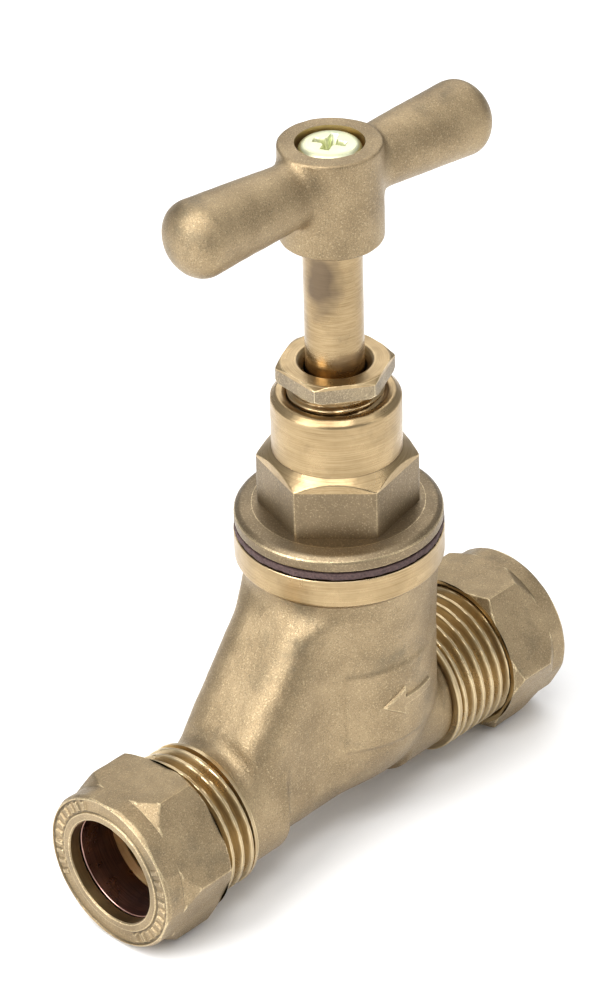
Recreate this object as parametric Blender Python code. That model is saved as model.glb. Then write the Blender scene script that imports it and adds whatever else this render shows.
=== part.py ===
"""A 15 mm brass compression stop valve of the screw-down kind, with a crutch head.

The origin is where the pipe run's axis (X) crosses the spindle's axis (Z). The outlet faces -X, the
inlet faces +X, and the raised pad with the flow arrow faces -Y. Heights are measured from the pipe
axis. Pieces that turn or slide have their origin on their own axis. The valve stands nearly fully open.
"""

import math

import bmesh
import bpy
from mathutils import Matrix

MM = 0.001
GAP = 0.3 * MM          # between pieces that rest on each other or slide in each other
THREAD_GAP = 0.25 * MM  # radial play between a male thread and its nut
OVERLAP = 0.05 * MM     # how far two shapes run into each other before they are joined
THROUGH = 1.0 * MM      # how far a cutter runs past the face that it opens

ROUND_STEPS = 36        # facets around a large turned piece
SMALL_STEPS = 24        # facets around a small one
THREAD_STEPS = 18       # facets around a thread

# Pipe run
PIPE_BORE_R = 7.6 * MM         # takes 15 mm copper tube
OUTLET_REACH = 45.0 * MM       # pipe run centre to the outlet nut's face
INLET_REACH = 34.1 * MM
SOCKET_DEPTH = 12.2 * MM       # neck end to pipe stop
WATERWAY_R = 6.4 * MM

# Compression nuts and olives
NUT_LENGTH = 11.3 * MM
NUT_FLATS = 22.0 * MM
NUT_COLLAR_R = 11.3 * MM
NUT_COLLAR_LENGTH = 2.8 * MM
NUT_SHOULDER_LENGTH = 2.3 * MM  # slope from the collar out to the hexagon's corners
NUT_WALL = 1.8 * MM
NUT_THREAD_LENGTH = 5.7 * MM
NUT_CORNER_CHAMFER = 1.0 * MM
NUT_RIM = 0.5 * MM              # chamfer round the collar's face
OLIVE_SEAT_PLAY = 0.2 * MM      # how much wider than the olive's end the nut's cone starts
OUTLET_NUT_CORNER = math.radians(34.9)
INLET_NUT_CORNER = math.radians(27.4)
OLIVE_WIDTH = 5.6 * MM
OLIVE_ENTRY = 1.3 * MM          # how far the olive stands inside the neck
OLIVE_BORE_R = 7.55 * MM
OLIVE_END_R = 7.9 * MM
OLIVE_CREST_R = 8.5 * MM

# Threaded necks
NECK_CREST_R = 10.45 * MM
NECK_THREAD_DEPTH = 1.15 * MM
NECK_PITCH = 1.814 * MM
NECK_COLLAR_R = 9.4 * MM
NECK_LAND = 1.2 * MM            # plain band at the thread's inner end
OUTLET_THREAD_START = 27.3 * MM
INLET_THREAD_START = 12.3 * MM
NECK_MOUTH_R = 8.75 * MM
NECK_MOUTH_DEPTH = 2.6 * MM

# Cast body
BARREL_R = 12.4 * MM
BARREL_TOP_R = 13.0 * MM
BARREL_TAPER_START = 17.0 * MM
BOWL_CENTRE = 6.0 * MM
RUN_HALF_WIDTH = 8.0 * MM
RUN_END = 9.0 * MM              # where the flat-sided run stops on the inlet side
RIDGE_FOOT = (-25.9 * MM, 8.4 * MM)
RIDGE_HEAD = (-13.7 * MM, 25.0 * MM)
RIDGE_ROUND = 4.5 * MM
RUN_START = 24.5 * MM
RING_R = 14.2 * MM
RING_HEIGHT = 3.9 * MM
RING_CHAMFER = 1.1 * MM
BODY_TOP = 33.25 * MM
CHAMBER_R = 10.0 * MM
CHAMBER_FLOOR = 8.0 * MM
SEAT_TOP = 9.0 * MM
SEAT_BORE_R = 6.0 * MM
SEAT_LIP_R = 7.5 * MM
SEAT_LIP_SPREAD = 0.25 * MM     # how much wider the lip is at its foot
PASSAGE_HALF_WIDTH = 6.0 * MM
PASSAGE_WALL = 2.5 * MM
PARTITION_FOOT = (-15.0 * MM, -6.2 * MM)  # outlet side of the wall between the two waterways
PARTITION_HEAD = (-9.6 * MM, 8.0 * MM)
BLIND_END = -7.0 * MM
OUTLET_BORE_END = 20.0 * MM     # how near the centre the outlet waterway's full bore comes
DRILL_POINT = 3.5 * MM
PAD_RISE = 0.25 * MM
PAD_BOTTOM = 4.0 * MM
PAD_TOP = 16.7 * MM
PAD_HALF_ANGLE = math.radians(45)
ARROW_RISE = 0.35 * MM
ARROW_LENGTH = 9.0 * MM
ARROW_HEAD = 3.6 * MM
ARROW_WIDTH = 4.6 * MM
ARROW_SHAFT = 1.4 * MM
ARROW_HEIGHT = 10.6 * MM

# Bonnet and fibre washer
WASHER_THICKNESS = 0.8 * MM
WASHER_R = 14.15 * MM
FLANGE_R = 14.1 * MM
FLANGE_HEIGHT = 2.35 * MM
BONNET_EASE = 0.7 * MM          # chamfer on the bonnet's turned corners
BONNET_FLATS = 19.0 * MM
BONNET_HEX_HEIGHT = 9.0 * MM
BONNET_CORNER = math.radians(12)
BONNET_CHAMFER_SLOPE = 0.9      # how far the hexagon's top chamfer falls for each mm that it widens
BONNET_R = 8.74 * MM
BONNET_HEIGHT = 8.4 * MM
STUB_R = 10.9 * MM
STUB_LENGTH = 9.25 * MM
BONNET_THREAD_LENGTH = 10.0 * MM
STUFFING_DEPTH = 9.9 * MM
STUFFING_FLOOR = 5.7 * MM       # thickness of the wall under the packing
BONNET_MOUTH_R = 6.98 * MM
PACKING_THICKNESS = 1.6 * MM
GLAND_WASHER_THICKNESS = 0.7 * MM

# Gland nut
GLAND_CREST_R = 6.48 * MM
GLAND_THREAD_DEPTH = 0.6 * MM
GLAND_PITCH = 1.5 * MM
GLAND_STANDOFF = 2.1 * MM       # bonnet top to the gland nut's hexagon
GLAND_FLATS = 14.0 * MM
GLAND_HEX_HEIGHT = 2.5 * MM
GLAND_CORNER = math.radians(24)
GLAND_MOUTH_R = 4.92 * MM
GLAND_CHAMFER = 0.9 * MM        # how far the gland nut's corners are cut back

# Spindle, crutch head and screw
SPINDLE_R = 3.92 * MM
SPINDLE_CREST_R = 5.4 * MM
SPINDLE_THREAD_DEPTH = 0.9 * MM
SPINDLE_PITCH = 2.0 * MM
LIFT = 7.0 * MM                 # from the seat to the height it stands at here
HEADROOM = 0.5 * MM             # what is left before the thread meets the bonnet's shoulder
SQUARE_HALF = 2.5 * MM
HUB_R = 6.8 * MM
HUB_HEIGHT = 13.7 * MM
HUB_STANDOFF = 18.3 * MM        # gland nut to hub
HUB_SOCKET = 2.0 * MM
HUB_CHAMFER = 0.8 * MM          # at the hub's foot; its top has half of it
CRUTCH_TURN = math.radians(-3.4)
BAR_HALF_LENGTH = 26.2 * MM
BAR_DROP = 5.1 * MM             # hub top to the bar's axis
BAR_MIDDLE_R = 3.8 * MM
BAR_END_R = 5.4 * MM
BAR_TIP = 3.8 * MM              # length of the rounded end
BAR_TIP_STEPS = 6
SCREW_POCKET_R = 4.53 * MM
SCREW_POCKET_DEPTH = 2.4 * MM
SCREW_HEAD_R = 4.15 * MM
SCREW_HEAD_HEIGHT = 2.0 * MM
SCREW_R = 1.75 * MM
SCREW_LENGTH = 8.0 * MM
SCREW_CHAMFER = 0.4 * MM
RECESS_SPAN = 4.0 * MM
RECESS_WIDTH = 0.95 * MM
RECESS_DEPTH = 1.2 * MM

# Jumper
JUMPER_WASHER_THICKNESS = 3.0 * MM
JUMPER_WASHER_R = 7.8 * MM
JUMPER_PLATE_R = 8.0 * MM
JUMPER_PLATE_THICKNESS = 2.1 * MM
JUMPER_STEM_R = 2.3 * MM
JUMPER_STEM_LENGTH = 8.8 * MM
JUMPER_STUD_R = 1.8 * MM
JUMPER_NUT_HEIGHT = 2.0 * MM
JUMPER_NUT_FLATS = 7.0 * MM

# Heights up the spindle axis
RING_BOTTOM = BODY_TOP - RING_HEIGHT
WASHER_BOTTOM = BODY_TOP + GAP
FLANGE_BOTTOM = WASHER_BOTTOM + WASHER_THICKNESS + GAP
FLANGE_TOP = FLANGE_BOTTOM + FLANGE_HEIGHT
BONNET_HEX_TOP = FLANGE_TOP + BONNET_HEX_HEIGHT
BONNET_TOP = BONNET_HEX_TOP + BONNET_HEIGHT
STUB_BOTTOM = BODY_TOP - STUB_LENGTH
PACKING_FLOOR = BONNET_TOP - STUFFING_DEPTH
SHOULDER = PACKING_FLOOR - STUFFING_FLOOR
PACKING_LOWER = PACKING_FLOOR + GAP
PACKING_UPPER = PACKING_LOWER + PACKING_THICKNESS + GAP
GLAND_WASHER_BOTTOM = PACKING_UPPER + PACKING_THICKNESS + GAP
GLAND_BOTTOM = GLAND_WASHER_BOTTOM + GLAND_WASHER_THICKNESS + GAP
GLAND_HEX_BOTTOM = BONNET_TOP + GLAND_STANDOFF
GLAND_TOP = GLAND_HEX_BOTTOM + GLAND_HEX_HEIGHT
JUMPER_WASHER_BOTTOM = SEAT_TOP + GAP + LIFT
JUMPER_PLATE_BOTTOM = JUMPER_WASHER_BOTTOM + JUMPER_WASHER_THICKNESS + GAP
JUMPER_PLATE_TOP = JUMPER_PLATE_BOTTOM + JUMPER_PLATE_THICKNESS
SPINDLE_FOOT = JUMPER_PLATE_TOP + GAP
SPINDLE_THREAD_TOP = SHOULDER - GAP - HEADROOM
HUB_BOTTOM = GLAND_TOP + HUB_STANDOFF
HUB_TOP = HUB_BOTTOM + HUB_HEIGHT
POCKET_FLOOR = HUB_TOP - SCREW_POCKET_DEPTH
SCREW_HEAD_BOTTOM = POCKET_FLOOR + GAP
SPINDLE_TOP = POCKET_FLOOR - GAP

# Where each thread's rows start in a turn, as shares of the pitch: root, root, crest, crest
THREAD_ROWS = (0.1, 0.27, 0.6, 0.77)
THREAD_TWIST = math.radians(2)  # keeps the threads' facets off those of the turned faces

TOWARD_OUTLET = Matrix.Rotation(math.radians(-90), 4, "Y")  # local Z points along -X
TOWARD_INLET = Matrix.Rotation(math.radians(90), 4, "Y")    # local Z points along +X
SIDEWAYS = Matrix.Rotation(math.radians(90), 4, "X")        # local Y points up, local Z along -Y

# Colour and roughness
CAST_BRASS = ((0.36, 0.26, 0.13), 0.48)
TURNED_BRASS = ((0.52, 0.38, 0.17), 0.30)
COPPER = ((0.36, 0.17, 0.12), 0.35)
FIBRE = ((0.075, 0.04, 0.045), 0.85)
PACKING = ((0.62, 0.6, 0.55), 0.8)
RUBBER = ((0.02, 0.02, 0.02), 0.8)
PLATED_STEEL = ((0.55, 0.52, 0.32), 0.35)


# Building blocks

def add_object(name, bm, place=None):
    """Turn a bmesh into a smooth-shaded object with outward faces."""
    bmesh.ops.recalc_face_normals(bm, faces=bm.faces)
    mesh = bpy.data.meshes.new(name)
    bm.to_mesh(mesh)
    bm.free()
    mesh.shade_smooth()
    mesh.set_sharp_from_angle(angle=math.radians(35))
    piece = bpy.data.objects.new(name, mesh)
    bpy.context.scene.collection.objects.link(piece)
    if place is not None:
        piece.matrix_world = place
    return piece


def finish(piece, colour, roughness, metallic=1.0, parent=None):
    """Give a finished piece its own material and hang it on the piece that carries it."""
    material = bpy.data.materials.new(piece.name)
    material.use_nodes = True
    shader = material.node_tree.nodes["Principled BSDF"]
    shader.inputs["Base Color"].default_value = (*colour, 1.0)
    shader.inputs["Roughness"].default_value = roughness
    shader.inputs["Metallic"].default_value = metallic
    piece.data.materials.clear()
    piece.data.materials.append(material)
    piece.parent = parent
    return piece


def combine(piece, operation, *tools):
    """Join, trim or cut a piece with each tool in turn."""
    for tool in tools:
        modifier = piece.modifiers.new(tool.name, "BOOLEAN")
        modifier.operation = operation
        modifier.object = tool
        tool.hide_render = True
        tool.display_type = "WIRE"
    return piece


def turned(name, outline, steps=ROUND_STEPS, first_angle=0.0, place=None):
    """Spin an outline of (radius, height) points once around the local Z axis.

    The outline closes on itself, or along the axis when its ends lie there.
    """
    bm = bmesh.new()
    points = [bm.verts.new((radius, 0, height)) for radius, height in outline]
    sides = list(zip(points, points[1:]))
    if outline[0][0] > 0 or outline[-1][0] > 0:
        sides.append((points[-1], points[0]))
    edges = [bm.edges.new(side) for side in sides]
    bmesh.ops.rotate(bm, verts=points, cent=(0, 0, 0), matrix=Matrix.Rotation(first_angle, 3, "Z"))
    bmesh.ops.spin(bm, geom=points + edges, cent=(0, 0, 0), axis=(0, 0, 1),
                   angle=math.tau, steps=steps, use_merge=True)
    bmesh.ops.remove_doubles(bm, verts=bm.verts, dist=0.0001 * MM)
    return add_object(name, bm, place)


def cylinder(name, radius, bottom, top, steps=ROUND_STEPS, place=None):
    return turned(name, [(0, bottom), (radius, bottom), (radius, top), (0, top)], steps, place=place)


def hexagon(name, flats, bottom, top, corner, place=None):
    """A hexagonal prism with one corner at the angle given."""
    radius = flats / math.sqrt(3)
    return turned(name, [(0, bottom), (radius, bottom), (radius, top), (0, top)], 6, corner, place)


def extruded(name, outline, bottom, top, place=None, rounded_side=None, radius=0.0):
    """Extrude a flat outline along local Z. The long edges of one side can be rounded."""
    bm = bmesh.new()
    points = [bm.verts.new((x, y, bottom)) for x, y in outline]
    base = bm.faces.new(points)
    grown = bmesh.ops.extrude_face_region(bm, geom=[base])["geom"]
    lifted = [item for item in grown if isinstance(item, bmesh.types.BMVert)]
    bmesh.ops.translate(bm, verts=lifted, vec=(0, 0, top - bottom))
    if rounded_side is not None:
        ends = {outline[rounded_side], outline[rounded_side + 1]}
        edges = [edge for edge in bm.edges if on_side(edge, ends)]
        bmesh.ops.bevel(bm, geom=edges, offset=radius, segments=4, profile=0.5, affect="EDGES")
    return add_object(name, bm, place)


def on_side(edge, ends):
    """True when the edge runs from one of the two outline points to the other at one height."""
    start, stop = (vert.co for vert in edge.verts)
    if abs(start.z - stop.z) > OVERLAP:
        return False
    return all(any(math.dist(spot[:2], end) < OVERLAP for spot in (start, stop)) for end in ends)


def helical_rod(name, minor_r, major_r, pitch, datum, bottom, top, place=None):
    """A rod with a right-hand thread, longer than needed at both ends, to be trimmed by its blank.

    The surface is one sheet of rows that climbs a pitch in each turn. The rows are counted from the
    datum height, so two threads with one datum are in mesh.
    """
    radii = (minor_r, minor_r, major_r, major_r)
    first_turn = math.floor((bottom - datum) / pitch) - 2
    last_turn = math.ceil((top - datum) / pitch) + 1
    bm = bmesh.new()
    rows = []
    for turn in range(first_turn, last_turn + 1):
        for share, radius in zip(THREAD_ROWS, radii):
            height = datum + pitch * (turn + share)
            rows.append([thread_point(bm, radius, height, pitch, step) for step in range(THREAD_STEPS + 1)])
    for low, high in zip(rows, rows[1:]):
        for step in range(THREAD_STEPS):
            bm.faces.new((low[step], low[step + 1], high[step + 1], high[step]))
    bmesh.ops.remove_doubles(bm, verts=bm.verts, dist=0.0001 * MM)
    middle = (bottom + top) / 2
    rims = [edge for edge in bm.edges if edge.is_boundary]
    for end in (datum + pitch * (first_turn - 1), datum + pitch * (last_turn + 2)):
        hub = bm.verts.new((0, 0, end))
        for edge in rims:
            if (edge.verts[0].co.z < middle) == (end < middle):
                bm.faces.new((hub, *edge.verts))
    return add_object(name, bm, place)


def thread_point(bm, radius, height, pitch, step):
    share = step / THREAD_STEPS
    angle = THREAD_TWIST + math.tau * share
    return bm.verts.new((radius * math.cos(angle), radius * math.sin(angle), height + pitch * share))


def threaded_rod(name, crest_r, depth, pitch, datum, bottom, top, place=None):
    """A male thread with a chamfer about as deep as the thread at each end."""
    end_r = crest_r - depth - 2 * OVERLAP
    wide_r = crest_r + THROUGH
    slope = wide_r - end_r
    trim = [(0, bottom), (end_r, bottom), (wide_r, bottom + slope),
            (wide_r, top - slope), (end_r, top), (0, top)]
    rod = helical_rod(name, crest_r - depth, crest_r, pitch, datum, bottom, top, place)
    return combine(rod, "INTERSECT", turned(f"{name}_trim", trim, SMALL_STEPS, place=place))


def tapping(name, crest_r, depth, pitch, datum, bottom, top, place=None):
    """A cutter for a whole threaded hole. The crest radius already holds the play."""
    rod = helical_rod(name, crest_r - depth, crest_r, pitch, datum, bottom, top, place)
    trim = cylinder(f"{name}_trim", crest_r + THROUGH, bottom, top, SMALL_STEPS, place)
    return combine(rod, "INTERSECT", trim)


def arc(centre, radius, start, stop, steps):
    """Points along an arc, both ends included."""
    angles = [start + (stop - start) * step / steps for step in range(steps + 1)]
    return [(centre[0] + radius * math.cos(a), centre[1] + radius * math.sin(a)) for a in angles]


# Compression ends, each drawn with the pipe axis as local Z, pointing out of the valve

def neck_end(reach):
    """Distance from the centre to the neck's end face, worked back from the nut's face."""
    return reach - NUT_WALL - GAP - OLIVE_WIDTH + OLIVE_ENTRY


def neck(name, reach, start, thread_start, place):
    """A threaded neck: a plain collar and land from the casting, with the thread beyond them."""
    end = neck_end(reach)
    thread_bottom = thread_start + NECK_LAND
    core_r = NECK_CREST_R - NECK_THREAD_DEPTH - 2 * OVERLAP
    base = turned(name, [
        (0, start), (NECK_COLLAR_R, start), (NECK_COLLAR_R, thread_start),
        (NECK_CREST_R + OVERLAP, thread_start), (NECK_CREST_R + OVERLAP, thread_bottom),
        (core_r - OVERLAP, thread_bottom + OVERLAP), (0, thread_bottom + OVERLAP)], place=place)
    thread = threaded_rod(f"{name}_thread", NECK_CREST_R, NECK_THREAD_DEPTH, NECK_PITCH, end,
                          thread_start + OVERLAP, end, place)
    return combine(base, "UNION", thread)


def port_bore(name, reach, depth, place):
    """The socket for the pipe, its cone for the olive, the pipe stop and the waterway behind it."""
    end = neck_end(reach)
    stop = end - SOCKET_DEPTH
    slope = (NECK_MOUTH_R - PIPE_BORE_R) / NECK_MOUTH_DEPTH
    outline = [(0, depth - DRILL_POINT), (WATERWAY_R, depth), (WATERWAY_R, stop), (PIPE_BORE_R, stop),
               (PIPE_BORE_R, end - NECK_MOUTH_DEPTH),
               (NECK_MOUTH_R + slope * THROUGH, end + THROUGH), (0, end + THROUGH)]
    return turned(name, outline, place=place)


def compression_nut(name, reach, corner, direction):
    """A hexagon with a round collar at its face, bored for pipe, olive and neck thread."""
    place = direction @ Matrix.Translation((0, 0, reach))
    corner_r = NUT_FLATS / math.sqrt(3)
    shoulder = -NUT_COLLAR_LENGTH - NUT_SHOULDER_LENGTH
    nut = hexagon(name, NUT_FLATS, -NUT_LENGTH, -OVERLAP, corner, place)
    form = turned(f"{name}_form", [
        (0, -NUT_LENGTH - THROUGH), (NUT_FLATS / 2 - THROUGH, -NUT_LENGTH - THROUGH),
        (corner_r + OVERLAP, -NUT_LENGTH + NUT_CORNER_CHAMFER), (corner_r + OVERLAP, shoulder),
        (NUT_COLLAR_R, -NUT_COLLAR_LENGTH), (NUT_COLLAR_R - OVERLAP, THROUGH), (0, THROUGH)], place=place)
    collar = turned(f"{name}_collar", [
        (0, -NUT_COLLAR_LENGTH), (NUT_COLLAR_R, -NUT_COLLAR_LENGTH), (NUT_COLLAR_R, -NUT_RIM),
        (NUT_COLLAR_R - NUT_RIM, 0), (0, 0)], place=place)
    crest = NECK_CREST_R + THREAD_GAP
    thread_top = -NUT_LENGTH + NUT_THREAD_LENGTH
    cone_r = OLIVE_END_R + OLIVE_SEAT_PLAY
    cone_top = -NUT_WALL
    relief = crest + OVERLAP
    cone_length = 1.2 * (relief - cone_r)
    bore = turned(f"{name}_bore", [
        (0, thread_top - OVERLAP), (relief, thread_top - OVERLAP), (relief, cone_top - cone_length),
        (cone_r, cone_top), (PIPE_BORE_R, cone_top), (PIPE_BORE_R, THROUGH), (0, THROUGH)], place=place)
    tap = tapping(f"{name}_tap", crest, NECK_THREAD_DEPTH, NECK_PITCH, neck_end(reach) - reach,
                  -NUT_LENGTH - THROUGH, thread_top, place)
    combine(nut, "INTERSECT", form)
    combine(nut, "UNION", collar)
    combine(nut, "DIFFERENCE", tap, bore)
    return finish(nut, *CAST_BRASS)


def olive(name, reach, direction):
    """A soft copper ring, thickest at its middle, that the nut squeezes onto the pipe."""
    outer = reach - NUT_WALL - GAP
    place = direction @ Matrix.Translation((0, 0, outer - OLIVE_WIDTH / 2))
    half = OLIVE_WIDTH / 2
    ring = turned(name, [(OLIVE_BORE_R, -half), (OLIVE_END_R, -half), (OLIVE_CREST_R, -half / 5),
                         (OLIVE_CREST_R, half / 5), (OLIVE_END_R, half), (OLIVE_BORE_R, half)], place=place)
    return finish(ring, *COPPER)


# Cast body

def run_section(name, half_width, outline, rounded_side=None, radius=0.0):
    """An outline in the XZ plane made as wide as the run, with its underside round about the pipe axis.

    The form that rounds the underside flares past the flat sides, so that no two faces coincide.
    """
    run = extruded(name, outline, -half_width, half_width, SIDEWAYS, rounded_side, radius)
    reach = max(abs(x) for x, height in outline) + THROUGH
    height = max(height for x, height in outline) + THROUGH
    facet = math.tau / ROUND_STEPS
    trough = arc((0, 0), half_width, math.pi + facet, math.tau - facet, ROUND_STEPS // 2 - 2)
    flare = (trough[-1][0] + height * math.sin(facet), trough[-1][1] + height * math.cos(facet))
    trough += [flare, (flare[0], height), (-flare[0], height), (-flare[0], flare[1])]
    along_run = Matrix.Rotation(math.radians(90), 4, "Z") @ SIDEWAYS
    form = extruded(f"{name}_form", trough, -reach, reach, along_run)
    return combine(run, "INTERSECT", form)


def barrel(name):
    """The round chamber wall with its bowl below and the machined ring on top."""
    bowl = arc((0, BOWL_CENTRE), BARREL_R, math.radians(-90), 0, 9)
    bowl[0] = (0, BOWL_CENTRE - BARREL_R)
    outline = bowl + [(BARREL_R, BARREL_TAPER_START), (BARREL_TOP_R, RING_BOTTOM - RING_CHAMFER),
                      (RING_R, RING_BOTTOM), (RING_R, BODY_TOP), (0, BODY_TOP)]
    return turned(name, outline)


def flow_pad(name):
    """A thin raised panel on the front of the barrel."""
    front = math.radians(-90)
    outline = arc((0, 0), BARREL_R + PAD_RISE, front - PAD_HALF_ANGLE, front + PAD_HALF_ANGLE, 12)
    outline += arc((0, 0), BARREL_R - THROUGH, front + PAD_HALF_ANGLE, front - PAD_HALF_ANGLE, 12)
    return extruded(name, outline, PAD_BOTTOM, PAD_TOP)


def flow_arrow(name):
    """A raised arrow on the pad that points to the outlet, trimmed to follow the barrel."""
    tip = -ARROW_LENGTH / 2
    neck_x = tip + ARROW_HEAD
    shaft = ARROW_SHAFT / 2
    outline = [(tip, ARROW_HEIGHT), (neck_x, ARROW_HEIGHT - ARROW_WIDTH / 2), (neck_x, ARROW_HEIGHT - shaft),
               (-tip, ARROW_HEIGHT - shaft), (-tip, ARROW_HEIGHT + shaft), (neck_x, ARROW_HEIGHT + shaft),
               (neck_x, ARROW_HEIGHT + ARROW_WIDTH / 2)]
    arrow = extruded(name, outline, BARREL_R * math.cos(PAD_HALF_ANGLE), BARREL_R + 2 * THROUGH, SIDEWAYS)
    limit = cylinder(f"{name}_limit", BARREL_R + PAD_RISE + ARROW_RISE, PAD_BOTTOM, PAD_TOP)
    return combine(arrow, "INTERSECT", limit)


def chamber_bore(name):
    """The seat's bore and lip, the chamber above it and the bore that takes the bonnet."""
    bonnet_bore_r = STUB_R + GAP
    return turned(name, [
        (0, 0), (SEAT_BORE_R, 0), (SEAT_BORE_R, SEAT_TOP), (SEAT_LIP_R, SEAT_TOP),
        (SEAT_LIP_R + SEAT_LIP_SPREAD, CHAMBER_FLOOR), (CHAMBER_R, CHAMBER_FLOOR),
        (CHAMBER_R, STUB_BOTTOM - GAP), (bonnet_bore_r, STUB_BOTTOM - GAP + bonnet_bore_r - CHAMBER_R),
        (bonnet_bore_r, BODY_TOP + THROUGH), (0, BODY_TOP + THROUGH)])


def passage(name):
    """The slanted waterway under the ridge, from the chamber down to the outlet port.

    It reaches into the chamber until the chamber is as wide as the passage.
    """
    foot_x, foot_z = RIDGE_FOOT
    head_x, head_z = RIDGE_HEAD
    length = math.dist(RIDGE_FOOT, RIDGE_HEAD)
    inward_x = PASSAGE_WALL * (head_z - foot_z) / length
    inward_z = -PASSAGE_WALL * (head_x - foot_x) / length
    upper_foot = (foot_x + inward_x, foot_z + inward_z)
    upper_head = (head_x + inward_x, head_z + inward_z)
    below = -WATERWAY_R - THROUGH
    lean = (PARTITION_HEAD[0] - PARTITION_FOOT[0]) / (PARTITION_HEAD[1] - PARTITION_FOOT[1])
    partition_bottom = (PARTITION_FOOT[0] + lean * (below - PARTITION_FOOT[1]), below)
    inside_chamber = 2 * OVERLAP - math.sqrt(CHAMBER_R ** 2 - PASSAGE_HALF_WIDTH ** 2)
    outline = [upper_foot, (upper_foot[0], below), partition_bottom, PARTITION_HEAD,
               (inside_chamber, CHAMBER_FLOOR + 2 * OVERLAP), (inside_chamber, upper_head[1]), upper_head]
    return run_section(name, PASSAGE_HALF_WIDTH, outline)


def make_body():
    foot_x, foot_z = RIDGE_FOOT
    head_x, head_z = RIDGE_HEAD
    body = barrel("body")
    run = run_section("run", RUN_HALF_WIDTH, [
        (0, head_z), RIDGE_HEAD, RIDGE_FOOT, (-RUN_START, foot_z - RIDGE_ROUND),
        (-RUN_START, -RUN_HALF_WIDTH - THROUGH), (RUN_END, -RUN_HALF_WIDTH - THROUGH), (RUN_END, 0)],
        rounded_side=1, radius=RIDGE_ROUND)
    outlet_neck = neck("outlet_neck", OUTLET_REACH, RUN_START - THROUGH, OUTLET_THREAD_START, TOWARD_OUTLET)
    inlet_neck = neck("inlet_neck", INLET_REACH, RUN_END - THROUGH, INLET_THREAD_START, TOWARD_INLET)
    combine(body, "UNION", run, outlet_neck, inlet_neck, flow_pad("flow_pad"), flow_arrow("flow_arrow"))
    combine(body, "DIFFERENCE",
            chamber_bore("chamber_bore"),
            passage("passage"),
            port_bore("outlet_bore", OUTLET_REACH, OUTLET_BORE_END, TOWARD_OUTLET),
            port_bore("inlet_bore", INLET_REACH, BLIND_END, TOWARD_INLET))
    return finish(body, *CAST_BRASS)


# Head work

def make_body_washer():
    washer = turned("body_washer", [
        (STUB_R + GAP, WASHER_BOTTOM), (WASHER_R, WASHER_BOTTOM),
        (WASHER_R, WASHER_BOTTOM + WASHER_THICKNESS), (STUB_R + GAP, WASHER_BOTTOM + WASHER_THICKNESS)])
    return finish(washer, *FIBRE, metallic=0.0)


def make_bonnet():
    """The head: a flange on the body, a threaded stub below it, a hexagon and a cylinder above."""
    edge = BONNET_EASE
    bonnet = turned("bonnet", [
        (0, STUB_BOTTOM), (STUB_R - edge, STUB_BOTTOM), (STUB_R, STUB_BOTTOM + edge),
        (STUB_R, FLANGE_BOTTOM),
        (FLANGE_R, FLANGE_BOTTOM), (FLANGE_R, FLANGE_TOP - 1.2 * edge),
        (FLANGE_R - edge, FLANGE_TOP - edge / 3), (FLANGE_R - 3 * edge, FLANGE_TOP),
        (BONNET_R, FLANGE_TOP), (BONNET_R, BONNET_TOP - edge),
        (BONNET_R - edge, BONNET_TOP), (0, BONNET_TOP)])
    corner_r = BONNET_FLATS / math.sqrt(3)
    chamfer = BONNET_CHAMFER_SLOPE * (corner_r + OVERLAP - BONNET_R)
    collar = hexagon("bonnet_hexagon", BONNET_FLATS, FLANGE_TOP - edge, BONNET_HEX_TOP + edge / 2,
                     BONNET_CORNER)
    form = turned("bonnet_hexagon_form", [
        (0, FLANGE_TOP - 2 * edge), (corner_r + OVERLAP, FLANGE_TOP - 2 * edge),
        (corner_r + OVERLAP, BONNET_HEX_TOP - chamfer),
        (BONNET_R - edge, BONNET_HEX_TOP + BONNET_CHAMFER_SLOPE * edge), (0, BONNET_HEX_TOP + 2 * edge)])
    combine(collar, "INTERSECT", form)
    gland_crest = GLAND_CREST_R + THREAD_GAP
    gland_root = gland_crest - GLAND_THREAD_DEPTH
    spindle_crest = SPINDLE_CREST_R + THREAD_GAP
    thread_top = STUB_BOTTOM + BONNET_THREAD_LENGTH
    bore = turned("bonnet_bore", [
        (0, thread_top - OVERLAP), (spindle_crest + OVERLAP, thread_top - OVERLAP),
        (spindle_crest + OVERLAP, SHOULDER), (SPINDLE_R + GAP, SHOULDER), (SPINDLE_R + GAP, PACKING_FLOOR),
        (gland_root - OVERLAP, PACKING_FLOOR), (gland_root - OVERLAP, GLAND_WASHER_BOTTOM + OVERLAP),
        (0, GLAND_WASHER_BOTTOM + OVERLAP)])
    mouth = turned("bonnet_mouth", [
        (0, BONNET_TOP - BONNET_MOUTH_R), (BONNET_MOUTH_R + THROUGH, BONNET_TOP + THROUGH),
        (0, BONNET_TOP + THROUGH)])
    spindle_tap = tapping("spindle_tap", spindle_crest, SPINDLE_THREAD_DEPTH, SPINDLE_PITCH, SPINDLE_FOOT,
                          STUB_BOTTOM - THROUGH, thread_top)
    gland_tap = tapping("gland_tap", gland_crest, GLAND_THREAD_DEPTH, GLAND_PITCH, GLAND_BOTTOM,
                        GLAND_WASHER_BOTTOM, BONNET_TOP + THROUGH)
    combine(bonnet, "UNION", collar)
    combine(bonnet, "DIFFERENCE", bore, mouth, spindle_tap, gland_tap)
    return finish(bonnet, *TURNED_BRASS)


def gland_ring(name, bottom, thickness, colour, roughness, metallic):
    """A ring that fills the stuffing box around the spindle."""
    outer = GLAND_CREST_R + THREAD_GAP - GLAND_THREAD_DEPTH - GAP
    inner = SPINDLE_R + GAP
    ring = turned(name, [(inner, bottom), (outer, bottom), (outer, bottom + thickness),
                         (inner, bottom + thickness)], SMALL_STEPS)
    return finish(ring, colour, roughness, metallic)


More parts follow.
